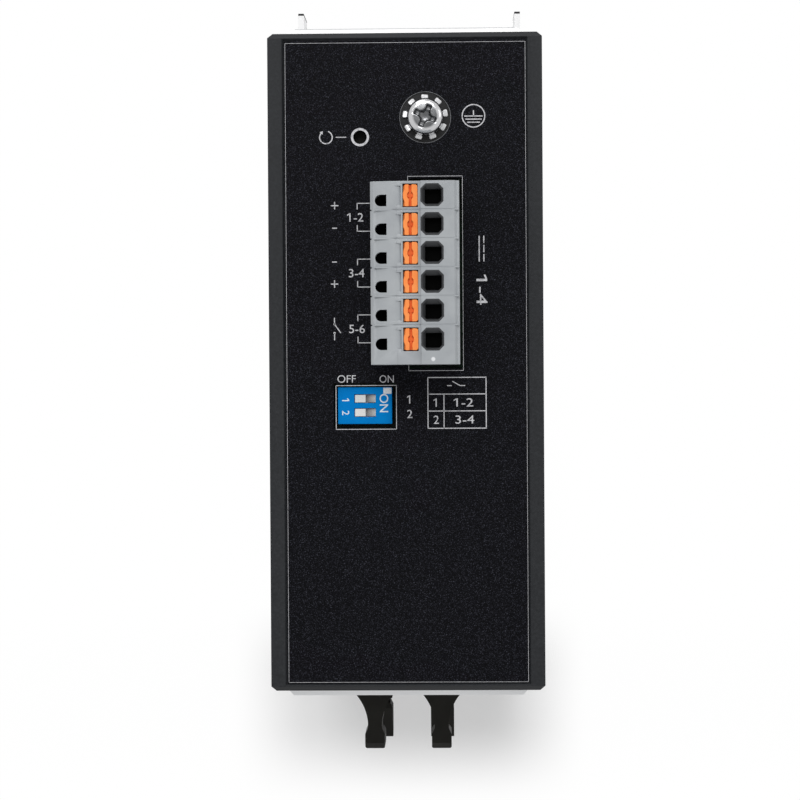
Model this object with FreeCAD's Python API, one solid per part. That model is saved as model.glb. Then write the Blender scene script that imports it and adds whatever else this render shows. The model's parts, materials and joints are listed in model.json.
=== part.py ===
import FreeCAD, Part
import math
import os

# DIN-rail Ethernet switch standing upright. Millimetres, +Z up.
# The origin is the centre of the case's underside. The ports face -Y and the rail clip is at +Y.

V = FreeCAD.Vector

# ---- case sleeve -----------------------------------------------------------
case_width = 50.0
case_depth = 120.0
case_height = 135.0
side_wall = 2.7
flat_wall = 2.2
corner_chamfer = 0.9
rim_front = 1.3
rim_back = 1.35
label_inset = 0.2
label_recess = 0.5
recess_bevel = 0.3
label_thick = 0.2
rib_pitch = 4.2
rib_groove_width = 1.4
rib_groove_floor = 0.7
rib_groove_depth = 0.8
rib_margin = 24.0
boss_radius = 2.9
boss_inset = 4.3
boss_web = 1.8
boss_hole_radius = 1.25
guide_slot_depth = 2.0
guide_rib_thick = 1.2
sheet_gap = 0.1
screw_gap = 0.1
shank_sides = 8
reach = 1.0
bite = 0.5

# ---- front panel and rear plate ---------------------------------------------
plate_gap = 0.3
plate_seat = 1.0
front_proud = 1.3
front_bevel = 1.5
back_proud = 1.2
back_bevel = 0.9
guard_thick = 1.05
guard_reach = 3.85
guard_edging_thick = 0.4
guard_spacing = 40.25
guard_shift = -0.7
guard_drop = 9.8
guard_length = 9.0
plate_screw_head_radius = 2.4
plate_screw_head_height = 0.95
plate_screw_radius = 1.2
plate_screw_length = 9.0

# ---- ports -----------------------------------------------------------------
board_thick = 1.6
jack_ports = 4
jack_pitch = 14.0
jack_end_wall = 1.0
jack_height = 13.4
jack_depth = 21.5
jack_drop = 21.0
jack_opening_width = 11.8
jack_opening_height = 6.8
jack_floor = 2.2
jack_opening_depth = 13.0
latch_step_widths = (6.4, 4.0)
latch_step_height = 1.25
jack_wires = 8
jack_wire_pitch = 1.02
jack_wire_thick = 0.45
jack_wire_rise = 1.9
jack_wire_sink = 0.8
jack_wire_setback = 1.4
jack_wire_tip = 2.0
jack_wire_end_gap = 0.6
jack_trough_depth = 0.9
shield_thick = 0.3
port_face_sink = 0.15
panel_hole_gap = 0.15
sfp_gap = 7.0
sfp_width = 14.3
sfp_height = 9.8
sfp_depth = 48.0
sfp_connector_depth = 7.0
sfp_connector_width = 11.2
sfp_connector_height = 5.6
sfp_slot_width = 9.4
sfp_slot_height = 1.6
sfp_slot_rise = 2.0
sfp_slot_depth = 4.5
sfp_vents = 4
sfp_vent_start = 12.0
sfp_vent_pitch = 7.0
sfp_vent_width = 2.5
sfp_vent_margin = 3.0
light_rows = 3
light_pitch = 4.2
light_width = 1.4
light_height = 2.8
light_gap = 0.05
light_board_gap = 0.7
light_drop = 8.2
light_length = 3.2
led_depth = 2.6
led_width = 3.0
led_height = 2.6

# ---- boards and what they carry ----------------------------------------------
main_board_setback = 3.0
main_board_back_gap = 12.0
main_board_foot_gap = 0.5
main_board_top_gap = 16.0
tongue_depth = 8.0
tongue_top_gap = 3.0
power_board_wall_gap = 3.3
power_board_front = -8.0
power_board_foot = 10.0
power_board_top_gap = 21.0
standoff_flats = 5.0
standoff_inset = 6.0
board_screw_radius = 1.25
board_screw_flats = 5.0
board_screw_head_height = 1.6
board_screw_grip = 6.0
chip_side = 25.0
chip_thick = 2.0
chip_chamfer = 0.4
chip_shift = (18.0, 4.0)
sink_side = 36.0
sink_base = 3.0
sink_fins = 8
sink_fin_thick = 1.4
sink_gap_to_wall = 2.0
port_transformer_size = (6.0, 12.0, 9.0)
port_transformer_gap = 5.0
port_transformer_chamfer = 0.6
capacitor_radius = 5.0
capacitor_length = 12.5
capacitor_pitch = 11.0
capacitor_count = 4
capacitor_rise = 7.0
inductor_side = 12.0
inductor_height = 6.5
inductor_count = 3
inductor_pitch = 15.0
inductor_corner = 1.6
inductor_drop = 6.0
transformer_size = (13.0, 20.0, 22.0)
transformer_yoke = 2.5
transformer_window = 5.7
transformer_window_offset = 5.9
bobbin_margin = 2.2
relay_size = (11.0, 20.0, 10.5)
relay_edge = 0.6
component_gap = 3.0
bobbin_overhang = 2.0

# ---- terminal board under the top wall -----------------------------------------
terminal_board_depth = 11.6
terminal_board_y = (-46.0, 14.5)
terminal_board_edge = 3.0
post_flats = 4.4
post_gap = 1.4
post_left_inset = 1.25
post_right_ys = (-30.0, -5.0)
post_left_ys = (-39.0, 8.0)
link_pin_count = 7
link_pin_pitch = 2.54
link_pin_side = 0.64
link_thick = 2.8
link_grip = 7.0
pin_gap = 0.05

# ---- terminal header and plug ----------------------------------------------------
pole_count = 6
pole_pitch = 5.08
header_x = -5.4
header_y = -16.1
header_width = 8.7
header_end = 1.3
header_wall = 1.0
header_proud = 0.3
header_floor = 3.0
pin_side = 1.0
pin_sink = 2.0
pin_tail = 1.2
pin_tip = 0.6
pin_tip_side = 0.55
pin_hole_gap = 0.1
cutout_gap = 0.8
plug_shift = 0.5
plug_right = 4.35
plug_left = 11.4
plug_end = 1.9
plug_height = 13.3
plug_lip_width = 0.9
plug_lip_slope = 0.45
plug_lip_drop = 0.6
plug_edge_bevel = 0.5
plug_slope_drop = 1.1
plug_slope_rise = 0.1
plug_lift = 1.0
plug_nose_gap = 0.2
plug_nose_depth = 8.0
plug_travel = 9.0
button_band = 4.3
button_band_drop = 0.8
button_length = 3.76
button_width = 2.6
button_height = 7.4
button_gap = 0.2
button_sink = 0.15
button_offset = 4.45
button_travel = 1.8
button_well_floor = 0.4
button_toe = 2.0
button_edge = 0.5
button_edge_drop = 0.9
button_mark_depth = 0.55
button_mark_width = 0.84
button_notch_width = 0.6
button_notch_length = 2.2
button_ramp_length = 1.3
button_ramp_depth = 0.4
funnel_width = 3.5
funnel_corner = 0.9
funnel_depth = 2.6
funnel_wall = 0.28
funnel_shift = 0.45
band_shift = 2.45
wire_hole_width = 2.7
wire_hole_length = 2.4
wire_hole_depth = 11.0
test_hole_radius = 1.03
test_hole_depth = 7.0
test_hole_offset = 9.54
test_hole_shift = 0.85
pole_groove = 0.25
socket_gap = 0.1
socket_wall = 0.45
clamp_spring_thick = 0.4
clamp_spring_width = 2.2
clamp_spring_rise = 1.5
clamp_spring_length = 7.0
clamp_spring_gap = 0.05
socket_slit = 0.4
socket_sink = 0.6

# ---- two-way switch block ---------------------------------------------------------
dip_x = 7.6
dip_y = 7.92
dip_length = 9.9
dip_width = 6.7
dip_sink = 1.0
dip_height = 5.4
dip_pitch = 2.54
dip_count = 2
dip_slot_length = 3.9
dip_slot_width = 1.6
dip_cover_thick = 0.9
dip_wall = 0.8
dip_knob_length = 1.95
dip_knob_gap = 0.1
dip_travel = 1.75
dip_foot_overlap = 0.15
dip_foot_thick = 1.0
dip_opening_gap = 0.75
dip_row_spacing = 7.62
dip_rail_width = 2.2
dip_bar_width = 1.6
dip_base_gap = 0.05
dip_foot_spread = 0.2

# ---- reset button and earth screw ---------------------------------------------------
reset_x = 8.19
reset_y = -41.0
reset_hole_radius = 1.2
reset_base_side = 6.0
reset_base_height = 3.5
reset_stem_radius = 1.75
reset_stem_gap = 0.12
reset_top_gap = 0.4
reset_travel = 0.3
reset_flange_half = 2.1
reset_flange_thick = 0.7
reset_cover_thick = 0.6
reset_floor = 1.0
earth_x = -3.72
earth_y = -44.5
earth_head_radius = 3.25
earth_head_height = 2.3
earth_shank_radius = 1.95
earth_length = 8.5
earth_hole_gap = 0.2
earth_ring_radius = 4.6
earth_cross_reach = 2.0
earth_cross_width = 0.7
earth_cross_depth = 1.3
earth_cross_turn = -24.0
washer_teeth = 9
washer_radius = 4.15
washer_root_radius = 3.2
washer_thick = 0.7
washer_bore_radius = 2.15
washer_turn = 71.0
nut_flats = 6.75
nut_height = 3.2

# ---- rail clip -----------------------------------------------------------------------
rail_width = 35.0
rail_flange = 1.0
rail_flange_gap = 0.4
rail_drop = 57.0
rail_edge_gap = 0.3
clip_shift = 0.7
clip_plate = 3.0
clip_seat = 10.0
arm_spacing = 13.2
arm_root = 5.6
arm_neck = 1.4
arm_foot = 1.95
arm_foot_depth = 3.65
arm_height = 5.6
arm_nose = 3.2
arm_seat_length = 9.0
arm_corner = 0.4
latch_travel = 4.5
latch_gap = 0.35
latch_thick = 4.0
latch_half = 6.9
latch_head_half = 9.2
latch_head_height = 3.7
latch_nose = 2.5
latch_reach = 8.0
latch_prong = 5.0
latch_waist_radius = 6.5
latch_waist_depth = 0.9
latch_waist_setback = 1.5
latch_head_step = 1.2
latch_toe_rise = 1.6
latch_toe_step = 2.0
cheek_height = 14.0
cheek_lip = 2.0
window_half = 2.9
window_height = 15.0
window_head_gap = 0.7
ledge_height = 2.0
tail_drop = 13.0
tail_half = 4.6
pry_slot = (5.4, 2.4)
pry_rise = 5.2
spring_radius = 1.9
spring_wire = 0.5
spring_turns = 4
spring_end_gap = 0.02
clip_screw_radius = 1.5
clip_screw_head_radius = 2.8
clip_screw_head_height = 1.6
clip_screw_grip = 3.0
clip_screw_drops = (2.0, 21.5)
clip_corner = 1.5
clip_stop_height = 6.0
hook_lead = 1.8
hook_crown = 1.2

# ---- places that follow from the sizes above --------------------------------------------
half_width = case_width / 2
front_y = -case_depth / 2
back_y = case_depth / 2
inner_x = half_width - side_wall
floor_z = flat_wall
ceiling_z = case_height - flat_wall
recess_z = case_height - label_recess
panel_z = recess_z + label_thick
front_face = front_y - front_proud
back_face = back_y + back_proud
label_half = inner_x - label_inset
guard_top = case_height - guard_drop
guard_foot = guard_top - guard_length
guard_xs = (guard_shift - guard_spacing / 2, guard_shift + guard_spacing / 2)
board_face = board_thick / 2
boss_x = inner_x - boss_inset
boss_levels = (floor_z + boss_inset, ceiling_z - boss_inset)

jack_face = front_face + port_face_sink
jack_stack = jack_ports * jack_pitch + 2 * jack_end_wall
jack_top = case_height - jack_drop
jack_foot = jack_top - jack_stack
sfp_top = jack_foot - sfp_gap
sfp_foot = sfp_top - sfp_width
light_x = board_face + light_board_gap + light_width / 2

main_front = front_y + main_board_setback
main_back = back_y - main_board_back_gap
main_foot = floor_z + main_board_foot_gap
main_top = case_height - main_board_top_gap
tongue_top = case_height - flat_wall - tongue_top_gap
power_face = -inner_x + power_board_wall_gap + board_thick
power_back = power_face - board_thick
power_top = case_height - power_board_top_gap
standoff_ys = (power_board_front + standoff_inset, main_back - standoff_inset)
standoff_zs = (power_board_foot + standoff_inset, power_top - standoff_inset)

terminal_top = panel_z - terminal_board_depth
terminal_foot = terminal_top - board_thick
link_x = board_face + link_thick / 2
post_right_x = boss_x - boss_radius - post_gap - post_flats / 2
post_left_x = header_x - header_width / 2 + post_left_inset
post_places = [(post_right_x, y) for y in post_right_ys] + [(post_left_x, y) for y in post_left_ys]
terminal_x0 = post_left_x - terminal_board_edge
terminal_x1 = post_right_x + terminal_board_edge
header_length = pole_count * pole_pitch + 2 * header_end
header_top = panel_z + header_proud
pole_start = header_y - plug_shift - (pole_count - 1) * pole_pitch / 2
poles = [pole_start + i * pole_pitch for i in range(pole_count)]
plug_x0 = header_x - plug_right
plug_x1 = header_x + plug_left
plug_y0 = poles[0] - pole_pitch / 2
plug_y1 = poles[-1] + pole_pitch / 2 + plug_end
plug_foot = panel_z + plug_lift
plug_top = panel_z + plug_height
band_top = plug_top - button_band_drop
funnel_x = header_x + funnel_shift
band_x0 = header_x + band_shift
band_x1 = band_x0 + button_band
button_x = header_x + button_offset
test_x = header_x + test_hole_offset
nose_foot = plug_foot - plug_nose_depth
socket_side = pin_side + 2 * (socket_gap + socket_wall)
socket_top = plug_top - wire_hole_depth + bite

dip_top = panel_z - dip_sink
dip_foot = dip_top - dip_height
dip_ways = [dip_y + (i - (dip_count - 1) / 2) * dip_pitch for i in range(dip_count)]

clip_y0 = back_face
clip_half = arm_spacing / 2 + arm_root
clip_y1 = back_face + clip_plate
seat_y = back_face + clip_seat
slot_y = seat_y + rail_flange + rail_flange_gap
rail_z = case_height - rail_drop
rail_top = rail_z + rail_width / 2
rail_foot = rail_z - rail_width / 2
clip_top = rail_top + rail_edge_gap + arm_height
latch_y0 = clip_y1 + latch_gap
latch_y1 = latch_y0 + latch_thick
head_top = rail_foot - rail_edge_gap
head_foot = head_top - latch_head_height
cheek_top = head_foot - latch_travel - latch_gap
cheek_foot = cheek_top - cheek_height
window_top = head_foot - window_head_gap
window_foot = window_top - window_height
ledge_foot = window_foot + latch_travel + latch_gap
ledge_top = ledge_foot + ledge_height
arm_xs = (-arm_spacing / 2, arm_spacing / 2)


# ---- shapes used again and again ------------------------------------------------------------
def box(x0, x1, y0, y1, z0, z1):
    return Part.makeBox(x1 - x0, y1 - y0, z1 - z0, V(x0, y0, z0))


def rod(radius, start, length, axis):
    return Part.makeCylinder(radius, length, V(*start), V(*axis))


def prism(points, travel):
    corners = [V(*p) for p in points]
    wire = Part.makePolygon(corners + corners[:1])
    return Part.Face(wire).extrude(V(*travel))


def flat_face(corners):
    return Part.Face(Part.makePolygon(corners + corners[:1]))


def frustum(lower, upper):
    low = [V(*p) for p in lower]
    high = [V(*p) for p in upper]
    faces = [flat_face(low), flat_face(high)]
    for i in range(len(low)):
        j = (i + 1) % len(low)
        faces.append(flat_face([low[i], low[j], high[j], high[i]]))
    solid = Part.Solid(Part.Shell(faces))
    if solid.Volume < 0:
        solid.reverse()
    return solid


def flat_rect(x0, x1, y0, y1, z):
    return [(x0, y0, z), (x1, y0, z), (x1, y1, z), (x0, y1, z)]


def upright_rect(x0, x1, z0, z1, y):
    return [(x0, y, z0), (x1, y, z0), (x1, y, z1), (x0, y, z1)]


def joined(pieces):
    first = pieces[0]
    if len(pieces) > 1:
        first = first.fuse(pieces[1:])
    return first.removeSplitter()


def group(pieces):
    return Part.makeCompound(pieces)


def other_side(shape):
    return shape.mirror(V(0, 0, 0), V(1, 0, 0))


def bar(sides, flats, start, length, axis):
    radius = flats / 2 / math.cos(math.pi / sides)
    corners = []
    for i in range(sides):
        angle = 2 * math.pi * (i + 0.5) / sides
        corners.append((radius * math.cos(angle), radius * math.sin(angle), 0))
    shape = prism(corners, (0, 0, length))
    shape.Placement = FreeCAD.Placement(V(*start), FreeCAD.Rotation(V(0, 0, 1), V(*axis)))
    return shape


# ---- case sleeve: one extrusion with ribbed sides, screw channels and card guides -------------
def label_field():
    y0 = front_y + rim_front
    y1 = back_y - rim_back
    floor = flat_rect(-label_half, label_half, y0, y1, recess_z)
    grow = recess_bevel
    mouth = flat_rect(-label_half - grow, label_half + grow, y0 - grow, y1 + grow, case_height)
    return frustum(floor, mouth)


def side_grooves():
    grooves = []
    floor_half = rib_groove_floor / 2
    mouth_half = rib_groove_width / 2 + (rib_groove_width / 2 - floor_half) * reach / rib_groove_depth
    x0 = half_width - rib_groove_depth
    x1 = half_width + reach
    level = rib_margin
    while level + rib_groove_width < case_height - rib_margin:
        section = [
            (x0, front_y - reach, level - floor_half),
            (x1, front_y - reach, level - mouth_half),
            (x1, front_y - reach, level + mouth_half),
            (x0, front_y - reach, level + floor_half),
        ]
        groove = prism(section, (0, case_depth + 2 * reach, 0))
        grooves.append(groove)
        grooves.append(other_side(groove))
        level += rib_pitch
    return grooves


def top_holes(z0, z1, earth_radius):
    holes = [rod(reset_hole_radius, (reset_x, reset_y, z0), z1 - z0, (0, 0, 1))]
    holes.append(rod(earth_radius, (earth_x, earth_y, z0), z1 - z0, (0, 0, 1)))
    half_w = header_width / 2 + cutout_gap
    half_l = header_length / 2 + cutout_gap
    holes.append(box(header_x - half_w, header_x + half_w, header_y - half_l, header_y + half_l, z0, z1))
    half_w = dip_length / 2 + dip_opening_gap
    half_l = dip_width / 2 + dip_opening_gap
    holes.append(box(dip_x - half_w, dip_x + half_w, dip_y - half_l, dip_y + half_l, z0, z1))
    return holes


def screw_channels(y0, y1):
    bars = []
    for x in (-boss_x, boss_x):
        for z in boss_levels:
            wall_x = math.copysign(inner_x + bite, x)
            wall_z = floor_z - bite if z == boss_levels[0] else ceiling_z + bite
            web = boss_web / 2
            bars.append(bar(8, 2 * boss_radius, (x, y0, z), y1 - y0, (0, 1, 0)))
            bars.append(box(min(x, wall_x), max(x, wall_x), y0, y1, z - web, z + web))
            bars.append(box(x - web, x + web, y0, y1, min(z, wall_z), max(z, wall_z)))
    return bars


def card_guides(y0, y1):
    guides = []
    rib_x = board_face + sheet_gap
    for x0 in (rib_x, -rib_x - guide_rib_thick):
        guides.append(box(x0, x0 + guide_rib_thick, y0, y1, floor_z - bite, floor_z + guide_slot_depth))
    return guides


def case_sleeve():
    outer = box(-half_width, half_width, front_y, back_y, 0, case_height)
    ends = []
    for edge in outer.Edges:
        middle = edge.CenterOfMass
        upright = abs(abs(middle.x) - half_width) < 0.01 and abs(abs(middle.y) - back_y) < 0.01
        across = abs(middle.x) < 0.01 and abs(abs(middle.y) - back_y) < 0.01
        if upright or across:
            ends.append(edge)
    outer = outer.makeChamfer(corner_chamfer, ends)
    bore = box(-inner_x, inner_x, front_y - reach, back_y + reach, floor_z, ceiling_z)
    shell = outer.cut([bore, label_field()] + side_grooves())
    y0 = front_y + plate_seat
    y1 = back_y - plate_seat
    shell = shell.fuse(screw_channels(y0, y1) + card_guides(y0, y1))
    holes = top_holes(ceiling_z - reach, case_height + reach, earth_shank_radius + earth_hole_gap)
    for x in (-boss_x, boss_x):
        for z in boss_levels:
            holes.append(bar(shank_sides, 2 * boss_hole_radius, (x, front_y, z), case_depth, (0, 1, 0)))
    return shell.cut(holes).removeSplitter()


def top_label():
    y0 = front_y + rim_front + sheet_gap
    y1 = back_y - rim_back - sheet_gap
    x = label_half - sheet_gap
    film = box(-x, x, y0, y1, recess_z, panel_z)
    return film.cut(top_holes(recess_z - reach, panel_z + reach, earth_ring_radius))


# ---- front panel: pan-shaped plate with port openings and two guards ------------------------------
def port_windows(y0, y1):
    gap = panel_hole_gap
    windows = []
    jack = box(board_face - gap, board_face + jack_height + gap, y0, y1, jack_foot - gap, jack_top + gap)
    cage = box(board_face - gap, board_face + sfp_height + gap, y0, y1, sfp_foot - gap, sfp_top + gap)
    for window in (jack, cage):
        windows.append(window)
        windows.append(other_side(window))
    return windows


def light_places():
    places = []
    for row in range(light_rows):
        z = case_height - light_drop - row * light_pitch
        places.append((light_x, z))
        places.append((-light_x, z))
    return places


def front_panel():
    x = inner_x - plate_gap
    z0 = floor_z + plate_gap
    z1 = ceiling_z - plate_gap
    seat = box(-x, x, front_y, front_y + plate_seat, z0, z1)
    inset = front_bevel
    base = upright_rect(-x, x, z0, z1, front_y)
    face = upright_rect(-x + inset, x - inset, z0 + inset, z1 - inset, front_face)
    pieces = [seat, frustum(base, face)]
    half = guard_thick / 2
    tip = front_face - guard_reach + guard_edging_thick
    for x in guard_xs:
        pieces.append(box(x - half, x + half, tip, front_y, guard_foot, guard_top))
    panel = joined(pieces)
    y0 = front_face - reach
    y1 = front_y + plate_seat + reach
    cuts = port_windows(y0, y1)
    for x, z in light_places():
        cuts.append(box(x - light_width / 2, x + light_width / 2, y0, y1, z - light_height / 2, z + light_height / 2))
    return panel.cut(cuts + plate_screw_holes(front_y, -1, front_proud))


def guard_edging():
    bars = []
    half = guard_thick / 2
    y0 = front_face - guard_reach
    for x in guard_xs:
        bars.append(box(x - half, x + half, y0, y0 + guard_edging_thick, guard_foot, guard_top))
    return group(bars)


def rear_plate():
    x = inner_x - plate_gap
    z0 = floor_z + plate_gap
    z1 = ceiling_z - plate_gap
    seat = box(-x, x, back_y - plate_seat, back_y, z0, z1)
    inset = back_bevel
    base = upright_rect(-x, x, z0, z1, back_y)
    face = upright_rect(-x + inset, x - inset, z0 + inset, z1 - inset, back_face)
    plate = joined([seat, frustum(base, face)])
    cuts = plate_screw_holes(back_y, 1, back_proud)
    for z in clip_screw_levels():
        cuts.append(bar(shank_sides, 2 * clip_screw_radius, (clip_shift, back_face, z), plate_seat + back_proud,
                        (0, -1, 0)))
    return plate.cut(cuts)


def plate_screw_holes(y, facing, proud):
    holes = []
    for x in (-boss_x, boss_x):
        for z in boss_levels:
            holes.append(bar(shank_sides, 2 * (plate_screw_radius + screw_gap), (x, y, z), plate_seat + bite,
                             (0, -facing, 0)))
            holes.append(rod(plate_screw_head_radius + screw_gap, (x, y, z), proud + reach, (0, facing, 0)))
    return holes


def plate_screw(x, z, y, facing):
    head = rod(plate_screw_head_radius, (x, y, z), plate_screw_head_height, (0, facing, 0))
    shank = bar(shank_sides, 2 * plate_screw_radius, (x, y, z), plate_screw_length, (0, -facing, 0))
    return joined([head, shank])


def plate_screws(y, facing):
    screws = []
    for x in (-boss_x, boss_x):
        for z in boss_levels:
            screws.append(plate_screw(x, z, y, facing))
    return group(screws)


# ---- RJ45 columns, one each side of the main board ---------------------------------------------------
def jack_centres():
    return [jack_foot + jack_end_wall + (i + 0.5) * jack_pitch for i in range(jack_ports)]


def jack_opening(z, y0, y1):
    x = board_face + jack_floor
    half = jack_opening_width / 2
    steps = [box(x, x + jack_opening_height, y0, y1, z - half, z + half)]
    x += jack_opening_height
    for width in latch_step_widths:
        steps.append(box(x, x + latch_step_height, y0, y1, z - width / 2, z + width / 2))
        x += latch_step_height
    return joined(steps)


def jack_body():
    t = shield_thick
    body = box(board_face, board_face + jack_height - t, jack_face + t, jack_face + jack_depth - t,
               jack_foot + t, jack_top - t)
    floor = board_face + jack_floor
    half = jack_wires * jack_wire_pitch / 2
    cuts = []
    for z in jack_centres():
        cuts.append(jack_opening(z, jack_face - reach, jack_face + jack_opening_depth))
        cuts.append(box(floor - jack_trough_depth, floor + reach, jack_face + jack_wire_setback - bite,
                        jack_face + jack_opening_depth, z - half, z + half))
    return body.cut(cuts)


def jack_shield():
    t = shield_thick
    outer = box(board_face, board_face + jack_height, jack_face, jack_face + jack_depth, jack_foot, jack_top)
    core = box(board_face - reach, board_face + jack_height - t, jack_face + t, jack_face + jack_depth - t,
               jack_foot + t, jack_top - t)
    return outer.cut([core] + [jack_opening(z, jack_face - reach, jack_face + reach) for z in jack_centres()])


def jack_contacts():
    wires = []
    foot = board_face + jack_floor - jack_wire_sink
    top = board_face + jack_floor + jack_wire_rise
    y0 = jack_face + jack_wire_setback
    y2 = jack_face + jack_opening_depth - jack_wire_end_gap
    y1 = y2 - jack_wire_tip
    thick = jack_wire_thick
    for z in jack_centres():
        for wire in range(jack_wires):
            side = z + (wire - (jack_wires - 1) / 2) * jack_wire_pitch - thick / 2
            outline = [
                (foot, y0, side),
                (top - thick, y1, side),
                (top - thick, y2, side),
                (top, y2, side),
                (top, y1, side),
                (foot + thick, y0, side),
            ]
            wires.append(prism(outline, (0, 0, thick)))
    return group(wires)


# ---- SFP cages ------------------------------------------------------------------------------------------
def sfp_cage():
    t = shield_thick
    outer = box(board_face, board_face + sfp_height, jack_face, jack_face + sfp_depth, sfp_foot, sfp_top)
    inner = box(board_face + t, board_face + sfp_height - t, jack_face - reach, jack_face + sfp_depth - t,
                sfp_foot + t, sfp_top - t)
    vents = []
    for i in range(sfp_vents):
        y = jack_face + sfp_vent_start + i * sfp_vent_pitch
        vents.append(box(board_face + sfp_height - reach, board_face + sfp_height + reach, y, y + sfp_vent_width,
                         sfp_foot + sfp_vent_margin, sfp_top - sfp_vent_margin))
    return outer.cut([inner] + vents)


def sfp_connector():
    t = shield_thick
    y1 = jack_face + sfp_depth - t
    y0 = y1 - sfp_connector_depth
    x = board_face + t
    middle = (sfp_foot + sfp_top) / 2
    half = sfp_connector_width / 2
    body = box(x, x + sfp_connector_height, y0, y1, middle - half, middle + half)
    half = sfp_slot_width / 2
    rise = x + sfp_slot_rise
    slot = box(rise, rise + sfp_slot_height, y0 - reach, y0 + sfp_slot_depth, middle - half, middle + half)
    return body.cut(slot)


# ---- status lights -----------------------------------------------------------------------------------------
def light_pipes():
    half_w = light_width / 2 - light_gap
    half_h = light_height / 2 - light_gap
    pipes = []
    for x, z in light_places():
        pipes.append(box(x - half_w, x + half_w, front_face, front_face + light_length, z - half_h, z + half_h))
    return group(pipes)


def status_leds():
    y0 = front_face + light_length + light_gap
    half = led_height / 2
    bodies = []
    for x, z in light_places():
        led = box(board_face, board_face + led_width, y0, y0 + led_depth, z - half, z + half)
        bodies.append(led if x > 0 else other_side(led))
    return group(bodies)


# ---- boards --------------------------------------------------------------------------------------------------
def screw_spots():
    return [(y, z) for y in standoff_ys for z in standoff_zs]


def main_board():
    sheet = box(-board_face, board_face, main_front, main_back, main_foot, main_top)
    tongue = box(-board_face, board_face, main_front, main_front + tongue_depth, main_top - bite, tongue_top)
    board = joined([sheet, tongue])
    holes = []
    for y, z in screw_spots():
        holes.append(bar(shank_sides, 2 * (board_screw_radius + screw_gap), (-board_face, y, z), board_thick,
                         (1, 0, 0)))
    return board.cut(holes)


def power_board():
    return box(power_back, power_face, power_board_front, main_back, power_board_foot, power_top)


def board_standoffs():
    posts = []
    span = -board_face - power_face
    for y, z in screw_spots():
        post = bar(6, standoff_flats, (power_face, y, z), span, (1, 0, 0))
        bore = bar(shank_sides, 2 * board_screw_radius, (-board_face, y, z), board_screw_grip, (-1, 0, 0))
        posts.append(post.cut(bore))
    return group(posts)


def board_screws():
    screws = []
    for y, z in screw_spots():
        head = bar(6, board_screw_flats, (board_face, y, z), board_screw_head_height, (1, 0, 0))
        shank = bar(shank_sides, 2 * board_screw_radius, (board_face, y, z), board_thick + board_screw_grip,
                    (-1, 0, 0))
        screws.append(joined([head, shank]))
    return group(screws)


# ---- what the main board carries --------------------------------------------------------------------------------
def chip_centre():
    y = (main_front + main_back) / 2 + chip_shift[0]
    z = (main_foot + main_top) / 2 + chip_shift[1]
    return y, z


def switch_chip():
    y, z = chip_centre()
    half = chip_side / 2
    chip = box(board_face, board_face + chip_thick, y - half, y + half, z - half, z + half)
    rim = [edge for edge in chip.Edges if abs(edge.CenterOfMass.x - board_face - chip_thick) < 0.01]
    return chip.makeChamfer(chip_chamfer, rim)


def chip_heat_sink():
    y, z = chip_centre()
    half = sink_side / 2
    x0 = board_face + chip_thick
    x1 = inner_x - sink_gap_to_wall
    pieces = [box(x0, x0 + sink_base, y - half, y + half, z - half, z + half)]
    step = (sink_side - sink_fin_thick) / (sink_fins - 1)
    for i in range(sink_fins):
        y0 = y - half + i * step
        y1 = y0 + sink_fin_thick
        draft = sink_fin_thick / 4
        fin = [
            (x0 + sink_base, y0, z - half),
            (x0 + sink_base, y1, z - half),
            (x1, y1 - draft, z - half),
            (x1, y0 + draft, z - half),
        ]
        pieces.append(prism(fin, (0, 0, sink_side)))
    return joined(pieces)


def port_transformers():
    blocks = []
    thick, depth, height = port_transformer_size
    y0 = jack_face + jack_depth + port_transformer_gap
    for z in jack_centres():
        block = box(board_face, board_face + thick, y0, y0 + depth, z - height / 2, z + height / 2)
        rim = [edge for edge in block.Edges if abs(edge.CenterOfMass.x - board_face - thick) < 0.01]
        block = block.makeChamfer(port_transformer_chamfer, rim)
        blocks.append(block)
        blocks.append(other_side(block))
    return group(blocks)


# ---- what the power board carries -----------------------------------------------------------------------------------
def bulk_capacitors():
    cans = []
    z = power_board_foot + standoff_inset + capacitor_radius + capacitor_rise
    for i in range(capacitor_count):
        y = power_board_front + standoff_inset + capacitor_radius + i * capacitor_pitch
        cans.append(rod(capacitor_radius, (power_face, y, z), capacitor_length, (1, 0, 0)))
    return group(cans)


def transformer_centre():
    y = power_board_front + standoff_inset + bobbin_overhang + transformer_size[1] / 2
    z = power_top - standoff_inset - standoff_flats - component_gap - transformer_size[2] / 2
    return y, z


def power_transformer():
    thick, depth, height = transformer_size
    y, z = transformer_centre()
    core = box(power_face, power_face + thick, y - depth / 2, y + depth / 2, z - height / 2, z + height / 2)
    x0 = power_face + transformer_yoke
    x1 = power_face + thick - transformer_yoke
    half = transformer_window / 2
    windows = []
    for side in (-1, 1):
        zc = z + side * transformer_window_offset
        windows.append(box(x0, x1, y - depth, y + depth, zc - half, zc + half))
    core = core.cut(windows)
    bobbin = box(x0, x1, y - depth / 2 - bobbin_overhang, y + depth / 2 + bobbin_overhang,
                 z - height / 2 + bobbin_margin, z + height / 2 - bobbin_margin)
    return joined([core, bobbin])


def power_inductors():
    blocks = []
    z = (power_board_foot + power_top) / 2 - inductor_drop
    half = inductor_side / 2
    for i in range(inductor_count):
        y = power_board_front + standoff_inset + half + i * inductor_pitch
        block = box(power_face, power_face + inductor_height, y - half, y + half, z - half, z + half)
        corners = [e for e in block.Edges if abs(e.CenterOfMass.x - power_face - inductor_height / 2) < 0.01]
        blocks.append(block.makeChamfer(inductor_corner, corners))
    return group(blocks)


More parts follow.
